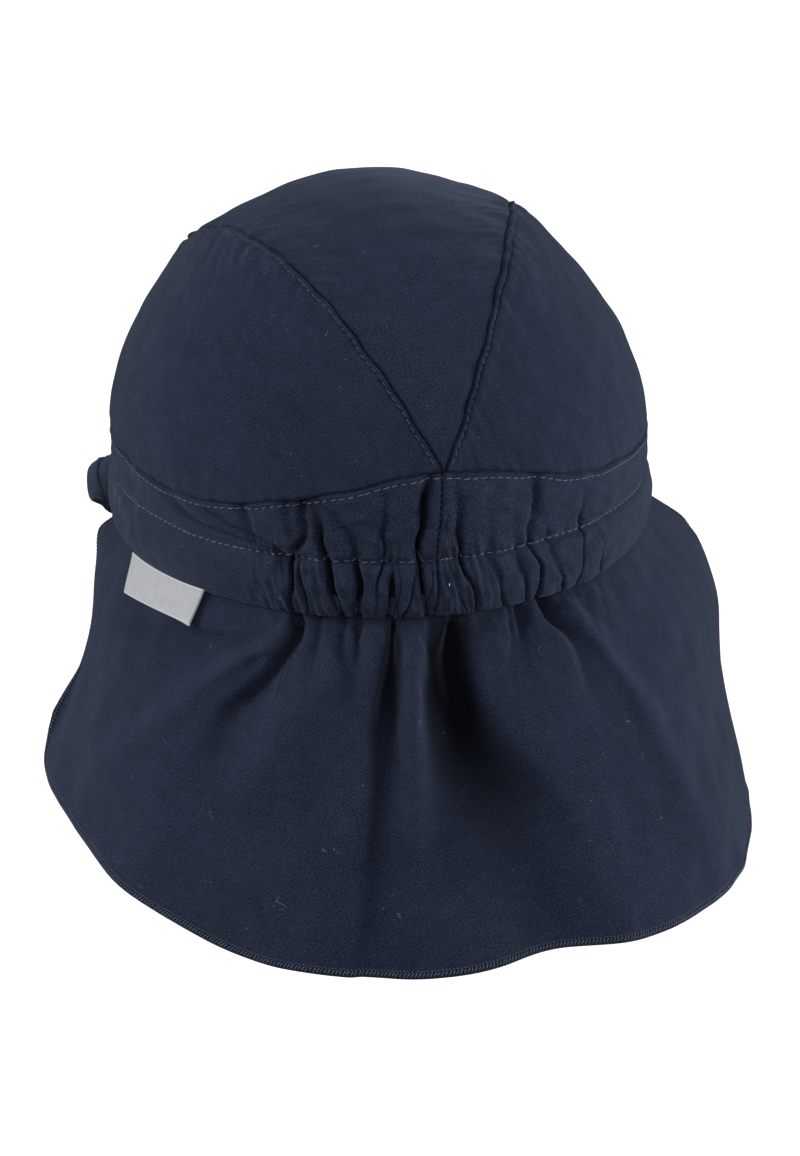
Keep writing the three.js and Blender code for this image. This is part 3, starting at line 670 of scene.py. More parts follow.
BACK_SEAM_ANGLES = [3, 2.2, 2.3, 1.3, 0.4]


def crease(distance, width, slot, lean):
    """Cloth that folds in to a narrow slot: with q the nearness to it, one minus the root of
    1 - q⁵, to the power 0.8. lean makes one flank steep and the other long."""
    flank = width * np.where(distance > 0, 1 + lean, 1 - lean)
    q = np.clip(1 - np.maximum(np.abs(distance) - slot, 0) / flank, 0, 1)
    return (1 - np.sqrt(1 - q**5 * 0.9995)) ** 0.8


def climb(angle, z):
    """How far up the wall: 0 at the casing's edge, 1 at the stitch line, 2 at the crown seam."""
    in_band = np.clip((z - CASING_HEIGHT) / (crown_seam_height(angle) - CASING_HEIGHT), 0, 1)
    return np.clip(z / CASING_HEIGHT, 0, 1) + in_band


def gather_depth(angle, z):
    """How far the gathers press the wall in. Each has its own path up the wall, and turns from a
    slot between two puffs into a bell-shaped valley on its way."""
    climbed = climb(angle, z)
    total = np.zeros(climbed.shape)
    for i, (angles, width, floor, depths, slot_to) in enumerate(GATHERS):
        centre = through(GATHER_AT, angles, climbed) + GATHER_WAVER * np.sin(z * 0.5 + i * 2.1)
        distance = (angle - centre) * math.radians(HALF_LENGTH)
        wide = width * (1 + 0.5 * np.clip(climbed - 1, 0, 1))
        deep = through(GATHER_AT, depths, climbed)
        soft = smooth((climbed - slot_to) / 0.3 + 0.5)
        floor_half = floor * np.clip(deep / max(depths), 0, 1)
        slot = crease(distance, wide, floor_half, LEAN * np.sin(2.4 * i + 0.09 * z))
        total += deep * (slot * (1 - soft) + 0.8 * bump_at(distance, 0, wide * 0.7) * soft)
    return total


def wall_point(angle, z, out):
    """Point of the wall round the head: level ellipses, which follow the crown's profile above the
    band's lowest seam height."""
    level = level_at(np.clip((z - BAND_TOP) / CROWN_HEIGHT, 0, 1))
    turn = np.radians(angle)
    x = (HALF_WIDTH * level + out) * np.sin(turn)
    y = (HALF_LENGTH * level + out) * np.cos(turn)
    return np.stack([x, y, z + 0 * x], axis=-1)


fine = np.arange(0, GATHERED_TO, FINE_ANGLE)
coarse = np.linspace(GATHERED_TO, 360 - GATHERED_TO, PLAIN_COLUMNS)
around = np.concatenate([fine, coarse, 360 - fine[::-1]])
angle = np.where(around > 180, around - 360, around)[None, :]
round_head = along_line(wall_point(around, 0, 0))

seam_height = crown_seam_height(angle)
band_share = crowded_ends(BAND_ROWS, 0.6)[:, None]
casing_share = crowded_ends(CASING_ROWS, 0.6)[1:, None]
z_band = seam_height + (CASING_HEIGHT - seam_height) * band_share
z_casing = CASING_HEIGHT * (1 - casing_share) + 0 * angle
z = np.concatenate([z_band, z_casing])
from_seam = seam_height - z
gathers = gather_depth(angle, z)
off_seam = (angle - through(GATHER_AT, BACK_SEAM_ANGLES, climb(angle, z))) * math.radians(HALF_LENGTH)
back_seam = bump_at(off_seam, 0, BACK_SEAM_SPREAD)
gathered = 1 - smooth((np.abs(angle) - (GATHERED_TO - GATHER_FADE)) / GATHER_FADE)

strip = wall_point(angle, z, 0)
puff = soft_noise(paired(round_head, z), PUFF_PITCH, 51)
broad = soft_noise(strip, BROAD_PITCH, 52)
wrinkle = soft_noise(paired(round_head + 0.15 * z, 0.16 * z), SIDE_WRINKLE_PITCH, 53)
drawn = soft_noise(paired(round_head - 0.2 * z, 0.3 * z), DRAWN_PITCH, 54)
near_casing = (1 - smooth((z - CASING_HEIGHT) / 9)) * (0.25 + 0.75 * smooth((angle + 12) / 10))
behind_side = 1 - smooth((np.abs(angle) - SIDE_WRINKLES_FROM) / 14)
before_side = smooth((np.abs(angle) - SIDE_WRINKLES_TO) / 20)
at_side = (1 - behind_side) * (1 - before_side)
casing_round = np.sin(math.pi * np.clip(z / CASING_HEIGHT, 0, 1)) ** 0.8
out = (
    (CASING_BULGE + CASING_PUFF * gathered) * casing_round * (z < CASING_HEIGHT)
    - gathers
    - (CASING_GROOVE + 0.5 * gathered) * bump_at(z, CASING_HEIGHT, 0.8)
    - SEAM_FOLD_DEPTH * bump_at(from_seam, 0, SEAM_FOLD_WIDTH)
    + 0.2 * bump_at(from_seam, RIDGE_FROM_SEAM, 0.4)
    - 0.3 * bump_at(from_seam, TOPSTITCH_BELOW_SEAM, 0.4)
    + (0.35 * puff + 0.45 * drawn * near_casing) * gathered
    + 0.16 * puff * (1 - gathered)
    + 0.3 * broad
    + 0.3 * wrinkle * at_side * (0.4 + 0.6 * casing_round)
    - BACK_SEAM_DEPTH * back_seam
)
softly = bump_at(np.arange(-12, 13), 0, 6)
hanging = np.convolve(np.tile(1 - smooth(gathers[-1] / 1.8), 3), softly / softly.sum(), mode="same")
hanging = hanging[len(around):2 * len(around)]
scallop = SCALLOP * gathered * hanging * (1 - np.clip(z / CASING_HEIGHT, 0, 1)) ** 2
wall = wall_point(angle, z - scallop, out)

# The casing's lower edge is a soft roll, and the wall then climbs a little way inside.
curl = np.linspace(0, 1, CURL_ROWS)[1:, None]
roll_angle = math.pi * curl
roll_out = out[-1:] - CURL_RADIUS * (1 - np.cos(roll_angle))
roll_z = -CURL_RADIUS * np.sin(roll_angle) * 0.6 - scallop[-1:] * (1 - curl)
rolled = wall_point(angle, roll_z, roll_out)
inside = wall_point(angle, INSIDE_CLIMB, roll_out[-1:])
top_flange = wall[:1] * TOP_FLANGE_SHRINK
wall = np.concatenate([top_flange, wall, rolled, inside])
down_cloth = along_line(wall[:, len(fine) + MEASURED_COLUMN])
down_cloth[0] = -FLANGE_DEPTH
flat = paired(round_head, down_cloth[:, None])

# Shade painted into the gathers and a faint highlight painted where the band is plain; shade painted in the
# back seam and just under the crown seam, and highlights painted on the crests of the side wrinkles.
painted_shading = np.concatenate([gathers[:1], gathers, np.repeat(gathers[-1:], CURL_ROWS, axis=0)]) / 2 - 0.25
painted_shading[1:len(gathers) + 1] += 0.9 * back_seam - 0.9 * smooth((wrinkle - 0.5) / 0.5) * at_side
below_seam = np.concatenate([from_seam[:1], from_seam, np.repeat(from_seam[-1:], CURL_ROWS, axis=0)])
painted_shading = painted_shading + 0.6 * np.exp(-below_seam / 0.5)
band = give_thickness(cloth_object("band_and_casing", wall, flat, painted_shading=painted_shading), BAND_CLOTH)
# The band's cloth is painted a little darker, to temper the side lights on it: painted shade.
band.data.materials.append(navy_cotton("band_cotton", 4, lightness=0.92))
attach(band, "root")
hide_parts("head_band", "elastic_casing")

# Stitching
# Pale blue-grey cotton thread, about ten machine stitches to the inch, along the band under the
# crown seam and along the casing's upper edge; darker thread beside the panel seams and up the
# centre-back seam.
STITCH_PITCH = 2.5
STITCH_LENGTH = 1.9
THREAD_RADIUS = 0.155
SEWN = (STITCH_PITCH, STITCH_LENGTH, THREAD_RADIUS)
STITCH_RINGS = 5
STITCH_SIDES = 6
STITCH_SINK = 0.06
STITCH_TAPER = 0.72
FIRST_STITCH_WIDTH = 3.5
BACK_PITCH = 1.8
BACK_LENGTH = 0.6
BACK_RADIUS = 0.12
BACK_INSET = 0.45


def line_at(line, places, wanted):
    """Points of a line at wanted places along it: each coordinate is interpolated by itself."""
    return np.stack([np.interp(wanted, places, line[:, k]) for k in range(3)], axis=-1)


def tube_quads(rings, sides):
    """The four points of each face between the rings of a tube, as the points' numbers."""
    ring = np.arange(sides)
    following = (ring + 1) % sides
    start = (np.arange(rings - 1) * sides)[:, None]
    corners = [start + ring, start + following, start + sides + following, start + sides + ring]
    return np.stack(corners, axis=-1).reshape(-1, 4)


def stitches(line, normals, pitch, length, radius, seed, slant=6.0, rise=0.12):
    """Stitches along a line that lies on the cloth. Each is a short thread that rises out of the
    cloth and dips back in: its height follows 1 - t² and its thickness the root of 1 - taper t².
    Spacing, slant and length vary a little. Gives points and faces."""
    draw = np.random.default_rng(seed)
    travelled = along_line(line)
    count = int(travelled[-1] / pitch)
    middle = (np.arange(count) + 0.5) * travelled[-1] / count + draw.normal(0, 0.05 * pitch, count)
    centre = line_at(line, travelled, middle)
    normal = unit(line_at(normals, travelled, middle))
    ahead = unit(line_at(line, travelled, middle + 0.4) - line_at(line, travelled, middle - 0.4))
    aside = np.cross(normal, ahead)
    tilt = np.radians(slant + draw.normal(0, 4, count))[:, None]
    ahead = ahead * np.cos(tilt) + aside * np.sin(tilt)
    aside = np.cross(normal, ahead)
    long = (length * draw.uniform(0.85, 1.1, count) / 2)[:, None, None]
    t = np.linspace(-1, 1, STITCH_RINGS)[None, :, None]
    lift = rise * (1 - t * t) - STITCH_SINK
    spine = centre[:, None] + ahead[:, None] * t * long + normal[:, None] * lift
    turn = np.linspace(0, 2 * math.pi, STITCH_SIDES, endpoint=False)
    thick = radius * np.sqrt(1 - STITCH_TAPER * t**2)[..., None]
    circle = aside[:, None, None] * np.cos(turn)[:, None] + normal[:, None, None] * np.sin(turn)[:, None]
    points = (spine[:, :, None] + circle * thick).reshape(-1, 3)
    ring = np.arange(STITCH_SIDES)
    base = (np.arange(count) * STITCH_RINGS * STITCH_SIDES)[:, None]
    quads = (tube_quads(STITCH_RINGS, STITCH_SIDES) + base[:, :, None]).reshape(-1, 4)
    first_cap = base + ring[::-1]
    last_cap = base + ring + STITCH_SIDES * (STITCH_RINGS - 1)
    return points, quads.tolist() + first_cap.tolist() + last_cap.tolist()


def thread_object(name, runs, material):
    """Several runs of stitches joined in one mesh."""
    points, faces, start = [], [], 0
    for run_points, run_faces in runs:
        points.append(run_points)
        faces += [[corner + start for corner in face] for face in run_faces]
        start += len(run_points)
    made = mesh_object(name, np.concatenate(points), faces)
    made.data.materials.append(material)
    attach(made, "root")
    return made


def thread_material(name, light, dark):
    """Twisted sewing thread: fine diagonal bands of two close tones."""
    material, wire = new_material(name)
    place = wire.node("ShaderNodeTexCoord", {}, {}, output=3)
    twist = wire.node("ShaderNodeTexWave", {"bands_direction": "DIAGONAL"},
                      {"Vector": place, "Scale": 900.0, "Distortion": 2.0})
    uneven = place.noise(220, 2)
    colour = mixed(twist * 0.5 + uneven * 0.6 - 0.05, dark, light)
    rough = uneven.ranged(0, 1, 0.55, 0.8)
    varying = {"Base Color": colour, "Roughness": rough, "Normal": twist.bump(0.5, 0.1)}
    return finish_material(material, varying, {"Sheen Weight": 0.1, "Sheen Roughness": 0.4})


pale_thread = thread_material("pale_thread", (0.17, 0.215, 0.295, 1), (0.055, 0.07, 0.11, 1))
dim_thread = thread_material("dim_thread", (0.065, 0.085, 0.13, 1), (0.022, 0.03, 0.05, 1))


def outward_normals(points):
    """Unit normals of a grid of points, along the columns crossed with along the rows, turned away
    from the head's upright axis."""
    normal = unit(np.cross(np.gradient(points, axis=1), np.gradient(points, axis=0)))
    return normal * np.sign(np.sum(normal * points * np.array([1, 1, 0]), axis=-1, keepdims=True))


def wall_line(heights):
    """A line on the finished wall, at a given height in each of its columns, with its normals."""
    rows = wall[1:-CURL_ROWS][::-1]
    normals = outward_normals(rows)
    levels = rows[..., 2]
    columns = range(len(heights))
    line = np.stack([line_at(rows[:, j], levels[:, j], heights[j]) for j in columns])
    normal = np.stack([line_at(normals[:, j], levels[:, j], heights[j]) for j in columns])
    return line, unit(normal)


under_seam = seam_height[0] - TOPSTITCH_BELOW_SEAM
above_casing = 0 * under_seam + CASING_HEIGHT + 0.1
band_runs = [stitches(*wall_line(under_seam), *SEWN, 61), stitches(*wall_line(above_casing), *SEWN, 62)]
thread_object("band_stitching", band_runs, pale_thread)

panel_runs = []
for side in (1, -1):
    place, normal, from_top = side_rows[side]
    wanted = np.minimum(STITCH_FROM_SEAM, from_top[:, -1] * 0.5)
    rows = range(len(place))
    line = np.stack([line_at(place[i], from_top[i], wanted[i]) for i in rows])
    ups = np.stack([normal[i, np.searchsorted(from_top[i], wanted[i])] for i in rows])
    mirror = np.array([side, 1, 1])
    line, ups = (line - ups * 0.02) * mirror, ups * mirror
    keep = from_top[:, -1] > FIRST_STITCH_WIDTH
    panel_runs.append(stitches(line[keep], ups[keep], *SEWN, 63 + side))
thread_object("panel_stitching", panel_runs, dim_thread)

back_heights = np.linspace(crown_seam_height(0) - 1, CASING_HEIGHT + 0.6, 60)
back_angles = through(GATHER_AT, BACK_SEAM_ANGLES, climb(0, back_heights))
back_line = wall_point(back_angles, back_heights, -BACK_INSET)
back_turns = np.radians(back_angles)
back_normal = np.stack([np.sin(back_turns), np.cos(back_turns), 0 * back_turns], axis=-1)
back_run = stitches(back_line, back_normal, BACK_PITCH, BACK_LENGTH, BACK_RADIUS, 66, slant=0)
thread_object("back_seam_stitching", [back_run], dim_thread)

# Neck flap
# A wide piece of the same cotton gathered into the casing's lower edge. It hangs in folds that
# start under the gathers and spread out towards a curved hem.
FLAP_DROP = 90
FLAP_FLARE = 43
FLAP_TUCK = 1.2
GAP = 0.3
FLAP_MIDDLE = 0.45
FLAP_SIDE_COLUMNS = (70, 60)
FLAP_MIDDLE_COLUMNS = 200
FLAP_ROWS = 104
FLAP_IN_SEAM = 0.035
FLAP_ROW_CROWDING = 1.25
FLAP_CLOTH = 0.8
FOLD_WAVER = 0.35
# Depth of a flap fold, in millimetres, that gets full painted shade.
PAINTED_SHADE_FOLD_DEPTH = 10
CRUMPLED_TO = 0.38

# Stations across the flap, from its right border at -1 to its left one at 1. In a row: the place
# across, the angles at the casing and at the hem, the shares of FLAP_DROP and FLAP_FLARE, and the
# shares of that flare reached just under the casing, a quarter, half and three quarters down.
FLAP_STATIONS = [
    (-1, -95, -87.5, 0.73, 0.52, 0.17, 0.79, 1, 0.97),
    (-0.96, -91, -87, 0.87, 0.59, 0.2, 0.77, 0.96, 0.92),
    (-0.91, -86, -83, 0.945, 0.64, 0.2, 0.67, 0.86, 0.88),
    (-0.84, -79, -76, 0.98, 0.675, 0.19, 0.6, 0.76, 0.85),
    (-0.72, -67, -66, 1, 0.73, 0.15, 0.46, 0.67, 0.84),
    (-0.5, -44, -46, 1.025, 0.85, 0.12, 0.37, 0.62, 0.84),
    (-0.3, -25, -27, 1.005, 0.94, 0.12, 0.36, 0.62, 0.84),
    (-0.1, -8.5, -9.5, 0.975, 1, 0.12, 0.36, 0.62, 0.84),
    (0.1, 8.5, 9.5, 0.985, 1.01, 0.12, 0.36, 0.62, 0.84),
    (0.3, 25, 27, 0.975, 0.965, 0.11, 0.35, 0.61, 0.83),
    (0.5, 44, 46, 0.91, 0.86, 0.11, 0.34, 0.59, 0.81),
    (0.72, 67, 66, 0.83, 0.69, 0.11, 0.34, 0.56, 0.79),
    (0.84, 79, 79, 0.795, 0.6, 0.11, 0.33, 0.5, 0.76),
    (0.91, 87.5, 88, 0.775, 0.58, 0.13, 0.32, 0.46, 0.73),
    (0.96, 94.5, 92, 0.73, 0.545, 0.19, 0.28, 0.39, 0.61),
    (1, 100, 93.5, 0.64, 0.47, 0.24, 0.26, 0.35, 0.58),
]
FLARE_AT = [0, 0.08, 0.25, 0.5, 0.75, 1]

# Folds of the flap. In a row, each at the six shares down the flap in FOLD_AT: the angle of its
# middle, its half widths to the left and the right, in degrees, and its depth in millimetres, which
# is negative for a ridge; then how square its walls are.
FOLD_AT = [0, 0.06, 0.16, 0.35, 0.65, 1]
FLAP_FOLDS = [
    ((0.8, 0.8, 1.4, 1.6, -1, -6), (3.6, 4.9, 5, 5.4, 8, 12),
     (3.6, 4.9, 4.6, 7.5, 15, 18), (1.2, 5, 7.5, 5, 1.8, 0), 6),
    ((-1.6, -1.4, -0.8, 0, -3, -6), (1.5, 2.4, 3, 3.6, 6, 8),
     (1.5, 2.2, 2.2, 4, 9, 10), (0.6, 4.5, 7.5, 3.6, 0.8, 0), 2.4),
    ((0, 0, 0, -1.5, -5, -9.5), (9, 9, 9, 9, 9, 8),
     (9, 9, 9, 9, 9, 8), (0, 0, 0.8, 2.2, 4.2, 6.5), 2),
    ((11.4, 11.6, 12.2, 13.2, 15, 16), (0.8, 1.3, 1.7, 2, 1.6, 1.4),
     (0.9, 1.5, 2.3, 3, 4, 4), (2, 8.5, 9.5, 4.6, 2.8, 1.2), 3),
    ((15, 15.2, 16, 17, 18, 18), (1.6, 1.9, 2, 2, 2, 2),
     (1.2, 1.2, 1.4, 2, 2, 2), (-0.3, -1.8, -0.8, 0, 0, 0), 2),
    ((18.4, 18.2, 18.6, 19, 19, 19), (0.9, 1, 1.4, 2, 2, 2),
     (0.9, 1, 1.4, 2, 2, 2), (1.4, 2.2, 1.2, 0, 0, 0), 2),
    ((26.5, 26.3, 26, 26, 26, 26), (1.1, 1.2, 1.6, 2, 2, 2),
     (1.1, 1.2, 1.6, 2, 2, 2), (1.4, 2.4, 0.8, 0, 0, 0), 2),
    ((8.2, 8.3, 8.6, 9, 10, 11), (2.2, 2, 2.2, 2.8, 4, 5),
     (1.6, 1.6, 1.8, 2.4, 3, 5), (-0.6, -1.6, -2.3, -2.4, -0.8, 0), 2),
    ((21.4, 21.2, 20.7, 20, 20, 20), (1.2, 1.2, 1.6, 2, 2, 2),
     (1.2, 1.2, 1.6, 2, 2, 2), (1.8, 2.8, 1, 0, 0, 0), 2),
    ((-13.3, -12.6, -10.8, -10, -10, -10), (0.9, 0.9, 1.3, 2, 2, 2),
     (0.9, 0.9, 1.3, 2, 2, 2), (1, 2, 0.6, 0, 0, 0), 2),
    ((-15.4, -14.8, -12.6, -12, -12, -12), (1, 1, 1.4, 2, 2, 2),
     (1, 1, 1.4, 2, 2, 2), (1.6, 2.4, 0.9, 0, 0, 0), 2),
    ((-21.3, -21.6, -24.8, -27, -30, -34), (1, 1, 1.3, 2, 3, 4),
     (1.8, 2.2, 3, 4, 5, 6), (3, 4.8, 2.6, 0.7, 0.2, 0), 2),
    ((-26.6, -27, -30, -33.9, -38.6, -44), (1.4, 1.4, 1.6, 2, 2.8, 4),
     (2, 2, 2.4, 3, 4, 5), (0, -1.4, -2.2, -2, -1.2, -0.4), 2),
    ((31.6, 30.7, 33.2, 40.5, 43.6, 48), (1, 1, 2, 2.4, 6, 9),
     (1, 1, 2.4, 5.5, 9, 12), (3.5, 6.5, 4.8, 4.4, 2.6, 0.9), 2),
    ((32.6, 33.6, 41, 51, 63.5, 75), (1.6, 2, 3, 4, 5, 6),
     (1.6, 1.8, 2.4, 3.5, 5, 6), (-0.6, -2.6, -2.8, -2.6, -1.8, -0.6), 2),
    ((31, 31.5, 57, 80, 90, 90), (5, 5, 9, 10, 10, 10),
     (5, 5, 9, 10, 10, 10), (0, 0.6, 1.8, 0.8, 0, 0), 2),
    ((20, 21.5, 25, 33, 42.5, 54), (4, 4, 4.5, 6, 7, 9),
     (4, 4, 4.5, 6, 7, 9), (0, -0.8, -2, -2.8, -2.4, -1), 2),
]

# Unevenness of the flap. In a row: height and pitch in millimetres, how slowly it changes downwards,
# the share of the drop within which it fades, where it does, and the seed of its waves.
FLAP_UNEVENNESS = [
    (0.6, 34, 1, None, 71),
    (0.24, 13, 0.6, None, 72),
    (0.85, 7, 0.5, 0.1, 73),
    (0.6, 3.8, 0.3, 0.07, 74),
]


def fold_depth(angle, down):
    """How far the folds press the flap in: across each fold, e to the minus distance^steep. Its
    place, its two half widths and its depth change down the flap."""
    total = np.zeros(np.broadcast(angle, down).shape)
    for i, (angles, lefts, rights, depths, steep) in enumerate(FLAP_FOLDS):
        waver = FOLD_WAVER * np.sin(17 * down + i * 2.3) * smooth(down * 4)
        away = angle - through(FOLD_AT, angles, down) + waver
        width = np.where(away > 0, through(FOLD_AT, lefts, down), through(FOLD_AT, rights, down))
        total += through(FOLD_AT, depths, down) * np.exp(-np.abs(away / width) ** steep)
    return total


def flap_stations(at):
    """Angles and shares of FLAP_STATIONS at places across the flap, a column for each."""
    places, *values = np.array(FLAP_STATIONS).T
    return through(places, values, at)[..., None]


def flap_point(at, down):
    """Point of the flap, with a row for each place across and a column for each share down."""
    lower = np.clip(down, 0, 1)
    top, hem, drop, flare, *quarters = flap_stations(at)
    angle = top + (hem - top) * lower
    shares = np.concatenate([0 * top, *quarters, 1 + 0 * top], axis=-1)
    flared = FLAP_FLARE * flare * through(FLARE_AT, shares, lower)
    out = flared - FLAP_TUCK * (1 - smooth(lower * 8)) - fold_depth(angle, lower)
    return wall_point(angle, -GAP - (FLAP_DROP * drop - GAP) * down, out)


def flap_surface(at, down):
    """The flap with the cloth's own unevenness on top of its folds: broad swells all over, and close
    under the casing a fine crumple, strongest where the flap is gathered."""
    base = flap_point(at, down)
    normal = outward_normals(base)
    lower = np.clip(down, 0, 1)[None, :]
    crumpled = 0.3 + 0.7 * (1 - smooth((np.abs(at[:, None]) - CRUMPLED_TO) / 0.12))
    height = 0
    for rise, pitch, drawn_out, reach, seed in FLAP_UNEVENNESS:
        wave = rise * soft_noise(base * np.array([1, 1, drawn_out]), pitch, seed)
        height = height + (wave * np.exp(-lower / reach) * crumpled if reach else wave)
    height = height * smooth(lower * 22)
    return base + normal * height[..., None], normal


flap_at = np.concatenate([
    np.linspace(-1, -FLAP_MIDDLE, FLAP_SIDE_COLUMNS[0], endpoint=False),
    np.linspace(-FLAP_MIDDLE, FLAP_MIDDLE, FLAP_MIDDLE_COLUMNS, endpoint=False),
    np.linspace(FLAP_MIDDLE, 1, FLAP_SIDE_COLUMNS[1]),
])
flap_down = np.concatenate([[-FLAP_IN_SEAM], np.linspace(0, 1, FLAP_ROWS) ** FLAP_ROW_CROWDING])
flap_shape, flap_normal = flap_surface(flap_at, flap_down)
across_cloth = along_line(flap_shape[:, FLAP_ROWS // 2])
flat = paired(across_cloth[:, None], along_rows(flap_shape))
flap_top, flap_hem = flap_stations(flap_at)[:2]
lower = np.clip(flap_down, 0, 1)[None, :]
# Shade painted into the folds and highlights painted on the ridges, by their depth; less shade near the hem,
# and shade painted just under the casing, more where the flap is gathered.
painted_shading = fold_depth(flap_top + (flap_hem - flap_top) * lower, lower) / PAINTED_SHADE_FOLD_DEPTH
painted_shading = painted_shading - 0.8 * bump_at(lower, 1, 0.35) * np.maximum(painted_shading, 0) + 0.5 * np.exp(-lower / 0.012)
where_gathered = 1 - smooth((np.abs(flap_at[:, None]) - CRUMPLED_TO) / 0.1)
painted_shading = painted_shading + 0.3 * np.exp(-lower / 0.05) * where_gathered
flap = give_thickness(cloth_object("flap", flap_shape, flat, painted_shading=painted_shading), FLAP_CLOTH)
# The flap's cloth is painted a touch darker, set by how the light falls on it: painted shade.
flap.data.materials.append(navy_cotton("flap_cotton", 5, lightness=0.96))
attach(flap, "root")
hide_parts("neck_flap")

# Rolled hem
# The flap's free edge is turned in a narrow roll and covered by overlock stitches in the same navy,
# whose thread is painted paler than the cloth: a painted sheen.
HEM_HALF_WIDTH = 0.95
HEM_HALF_THICKNESS = 0.75
HEM_SIDES = 10
HEM_ROWS = 700
HEM_PAST_EDGE = 0.55
OVERLOCK_PITCH = 1.05
OVERLOCK_LENGTH = 1.5
OVERLOCK_RADIUS = 0.15
OVERLOCK_SLANT = 58
OVERLOCK_RISE = 0.16
OVERLOCK_OUT = 0.92
OVERLOCK_INSET = 0.35
INNER_ROW_INSET = 0.75
INNER_ROW_LENGTH = 0.7
INNER_ROW_RADIUS = 0.1
INNER_ROW_RISE = 0.06


def border(grid):
    """The flap's free border: down its right edge, along the hem and up its left edge."""
    return np.concatenate([grid[0, 1:-1], grid[:, -1], grid[-1, 1:-1][::-1]])


edge = border(flap_shape)
travelled = along_line(edge)
even = np.linspace(0, travelled[-1], HEM_ROWS)
edge = line_at(edge, travelled, even)
edge_normal = unit(line_at(border(flap_normal), travelled, even))
ahead = unit(np.gradient(edge, axis=0))
outward = unit(np.cross(edge_normal, ahead))
if np.sum(outward * (edge - edge.mean(axis=0))) < 0:
    outward = -outward
spine = edge - edge_normal * FLAP_CLOTH / 2 + outward * (HEM_HALF_WIDTH * HEM_PAST_EDGE)
ring_turn = np.linspace(0, 2 * math.pi, HEM_SIDES + 1)[:, None]
hem_shape = (spine[:, None] + outward[:, None] * HEM_HALF_WIDTH * np.cos(ring_turn)
             + edge_normal[:, None] * HEM_HALF_THICKNESS * np.sin(ring_turn))
hem_flat = paired(even[:, None], ring_turn[:, 0] * HEM_HALF_WIDTH)


def tube_object(name, rings, ring_uv):
    """A closed tube from rings whose last point repeats the first; its ends are capped."""
    count, sides = rings.shape[0], rings.shape[1] - 1
    ring = np.arange(sides)
    caps = [ring[::-1].tolist(), (ring + (count - 1) * sides).tolist()]
    faces = tube_quads(count, sides).tolist() + caps
    middle = rings[:, :-1].mean(axis=1)
    sample = np.cross(rings[1, 1] - rings[1, 0], rings[2, 0] - rings[1, 0])
    if np.dot(sample, rings[1, 0] - middle[1]) < 0:
        faces = [face[::-1] for face in faces]
    return mesh_object(name, rings[:, :-1], faces, ring_uv[:, :-1])


hem = tube_object("hem", hem_shape, hem_flat)
hem.data.materials.append(navy_cotton("hem_cotton", 6, lightness=0.8))
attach(hem, "root")
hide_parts("flap_hem")

middle_of_roll = spine - outward * OVERLOCK_INSET
overlock_runs = []
for face, seed in ((1, 81), (-1, 82)):
    line = middle_of_roll + face * edge_normal * HEM_HALF_THICKNESS * OVERLOCK_OUT
    run = stitches(line, face * edge_normal, OVERLOCK_PITCH, OVERLOCK_LENGTH, OVERLOCK_RADIUS, seed,
                   slant=OVERLOCK_SLANT, rise=OVERLOCK_RISE)
    overlock_runs.append(run)
inner_line = edge + edge_normal * INNER_ROW_RISE - outward * INNER_ROW_INSET
inner_run = stitches(inner_line, edge_normal, OVERLOCK_PITCH, INNER_ROW_LENGTH, INNER_ROW_RADIUS, 83,
                     slant=0, rise=INNER_ROW_RISE)
overlock_runs.append(inner_run)
# The navy overlock thread is painted paler than the cloth: a painted sheen.
sheen_painted_overlock_thread = thread_material("sheen_painted_overlock_thread", (0.115, 0.14, 0.20, 1), (0.035, 0.045, 0.07, 1))
overlock = thread_object("hem_overlock", overlock_runs, sheen_painted_overlock_thread)

# Peak
# A stiffened double layer of the navy cotton that shades the face, sewn under the front half of the
# band. It arches from side to side; a line of stitches follows its rounded edge.
PEAK_HALF_WIDTH = 81
PEAK_LENGTH = 122
PEAK_START = 20
PEAK_END_ANGLE = 103
PEAK_THICKNESS = 2.2
PEAK_DIP = 17
PEAK_ARCH = 5
PEAK_SEAT_INSET = 1.5
PEAK_EDGE_TURNS = [0, 30, 46, 60, 75, 90]
PEAK_EDGE_RISES = [-1, -0.91, -0.7, -0.35, 0.09, 0.24]
PEAK_ACROSS = 241
PEAK_OUT = 60
PEAK_EDGE_STEPS = 8
PEAK_STITCH_IN = 4.5
PEAK_END_ROUND = 0.045
PEAK_FULL_WIDTH = 16
PEAK_GROOVE = 0.4
QUILT_PITCH = 4.2
QUILT_RISE = 0.35
PEAK_LEVEL_FROM = 1.6
PEAK_LEVEL_FADE = 3.4


def peak_point(share, out):
    """Point of the peak's upper face, and how far its edge is from its seat there: straight from
    the seat under the band to an oval edge, with an arch of sine shape added. It rises only where it
    is clear of the band. share: 1 left end to -1 right end. out: 0 seat to 1 edge."""
    start = wall_point(180 - (180 - PEAK_END_ANGLE) * share, -GAP, -PEAK_SEAT_INSET)
    turn = np.radians(90 * share)
    end = np.stack([
        PEAK_HALF_WIDTH * np.sin(turn),
        -PEAK_START - PEAK_LENGTH * np.cos(turn),
        PEAK_DIP * through(PEAK_EDGE_TURNS, PEAK_EDGE_RISES, np.abs(90 * share)),
    ], axis=-1)
    span = np.linalg.norm(end - start, axis=-1)
    clear = smooth((span * out - PEAK_LEVEL_FROM) / PEAK_LEVEL_FADE)
    arch = PEAK_ARCH * np.sin(math.pi * np.clip(out, 0, 1)) * out * np.maximum(np.cos(turn), 0) ** 0.7
    point = start + (end - start) * out[..., None]
    high = np.maximum(0, end[..., 2]) * out
    low = np.minimum(0, end[..., 2]) * out
    point[..., 2] = -GAP + (high + arch) * clear + low
    return point, span


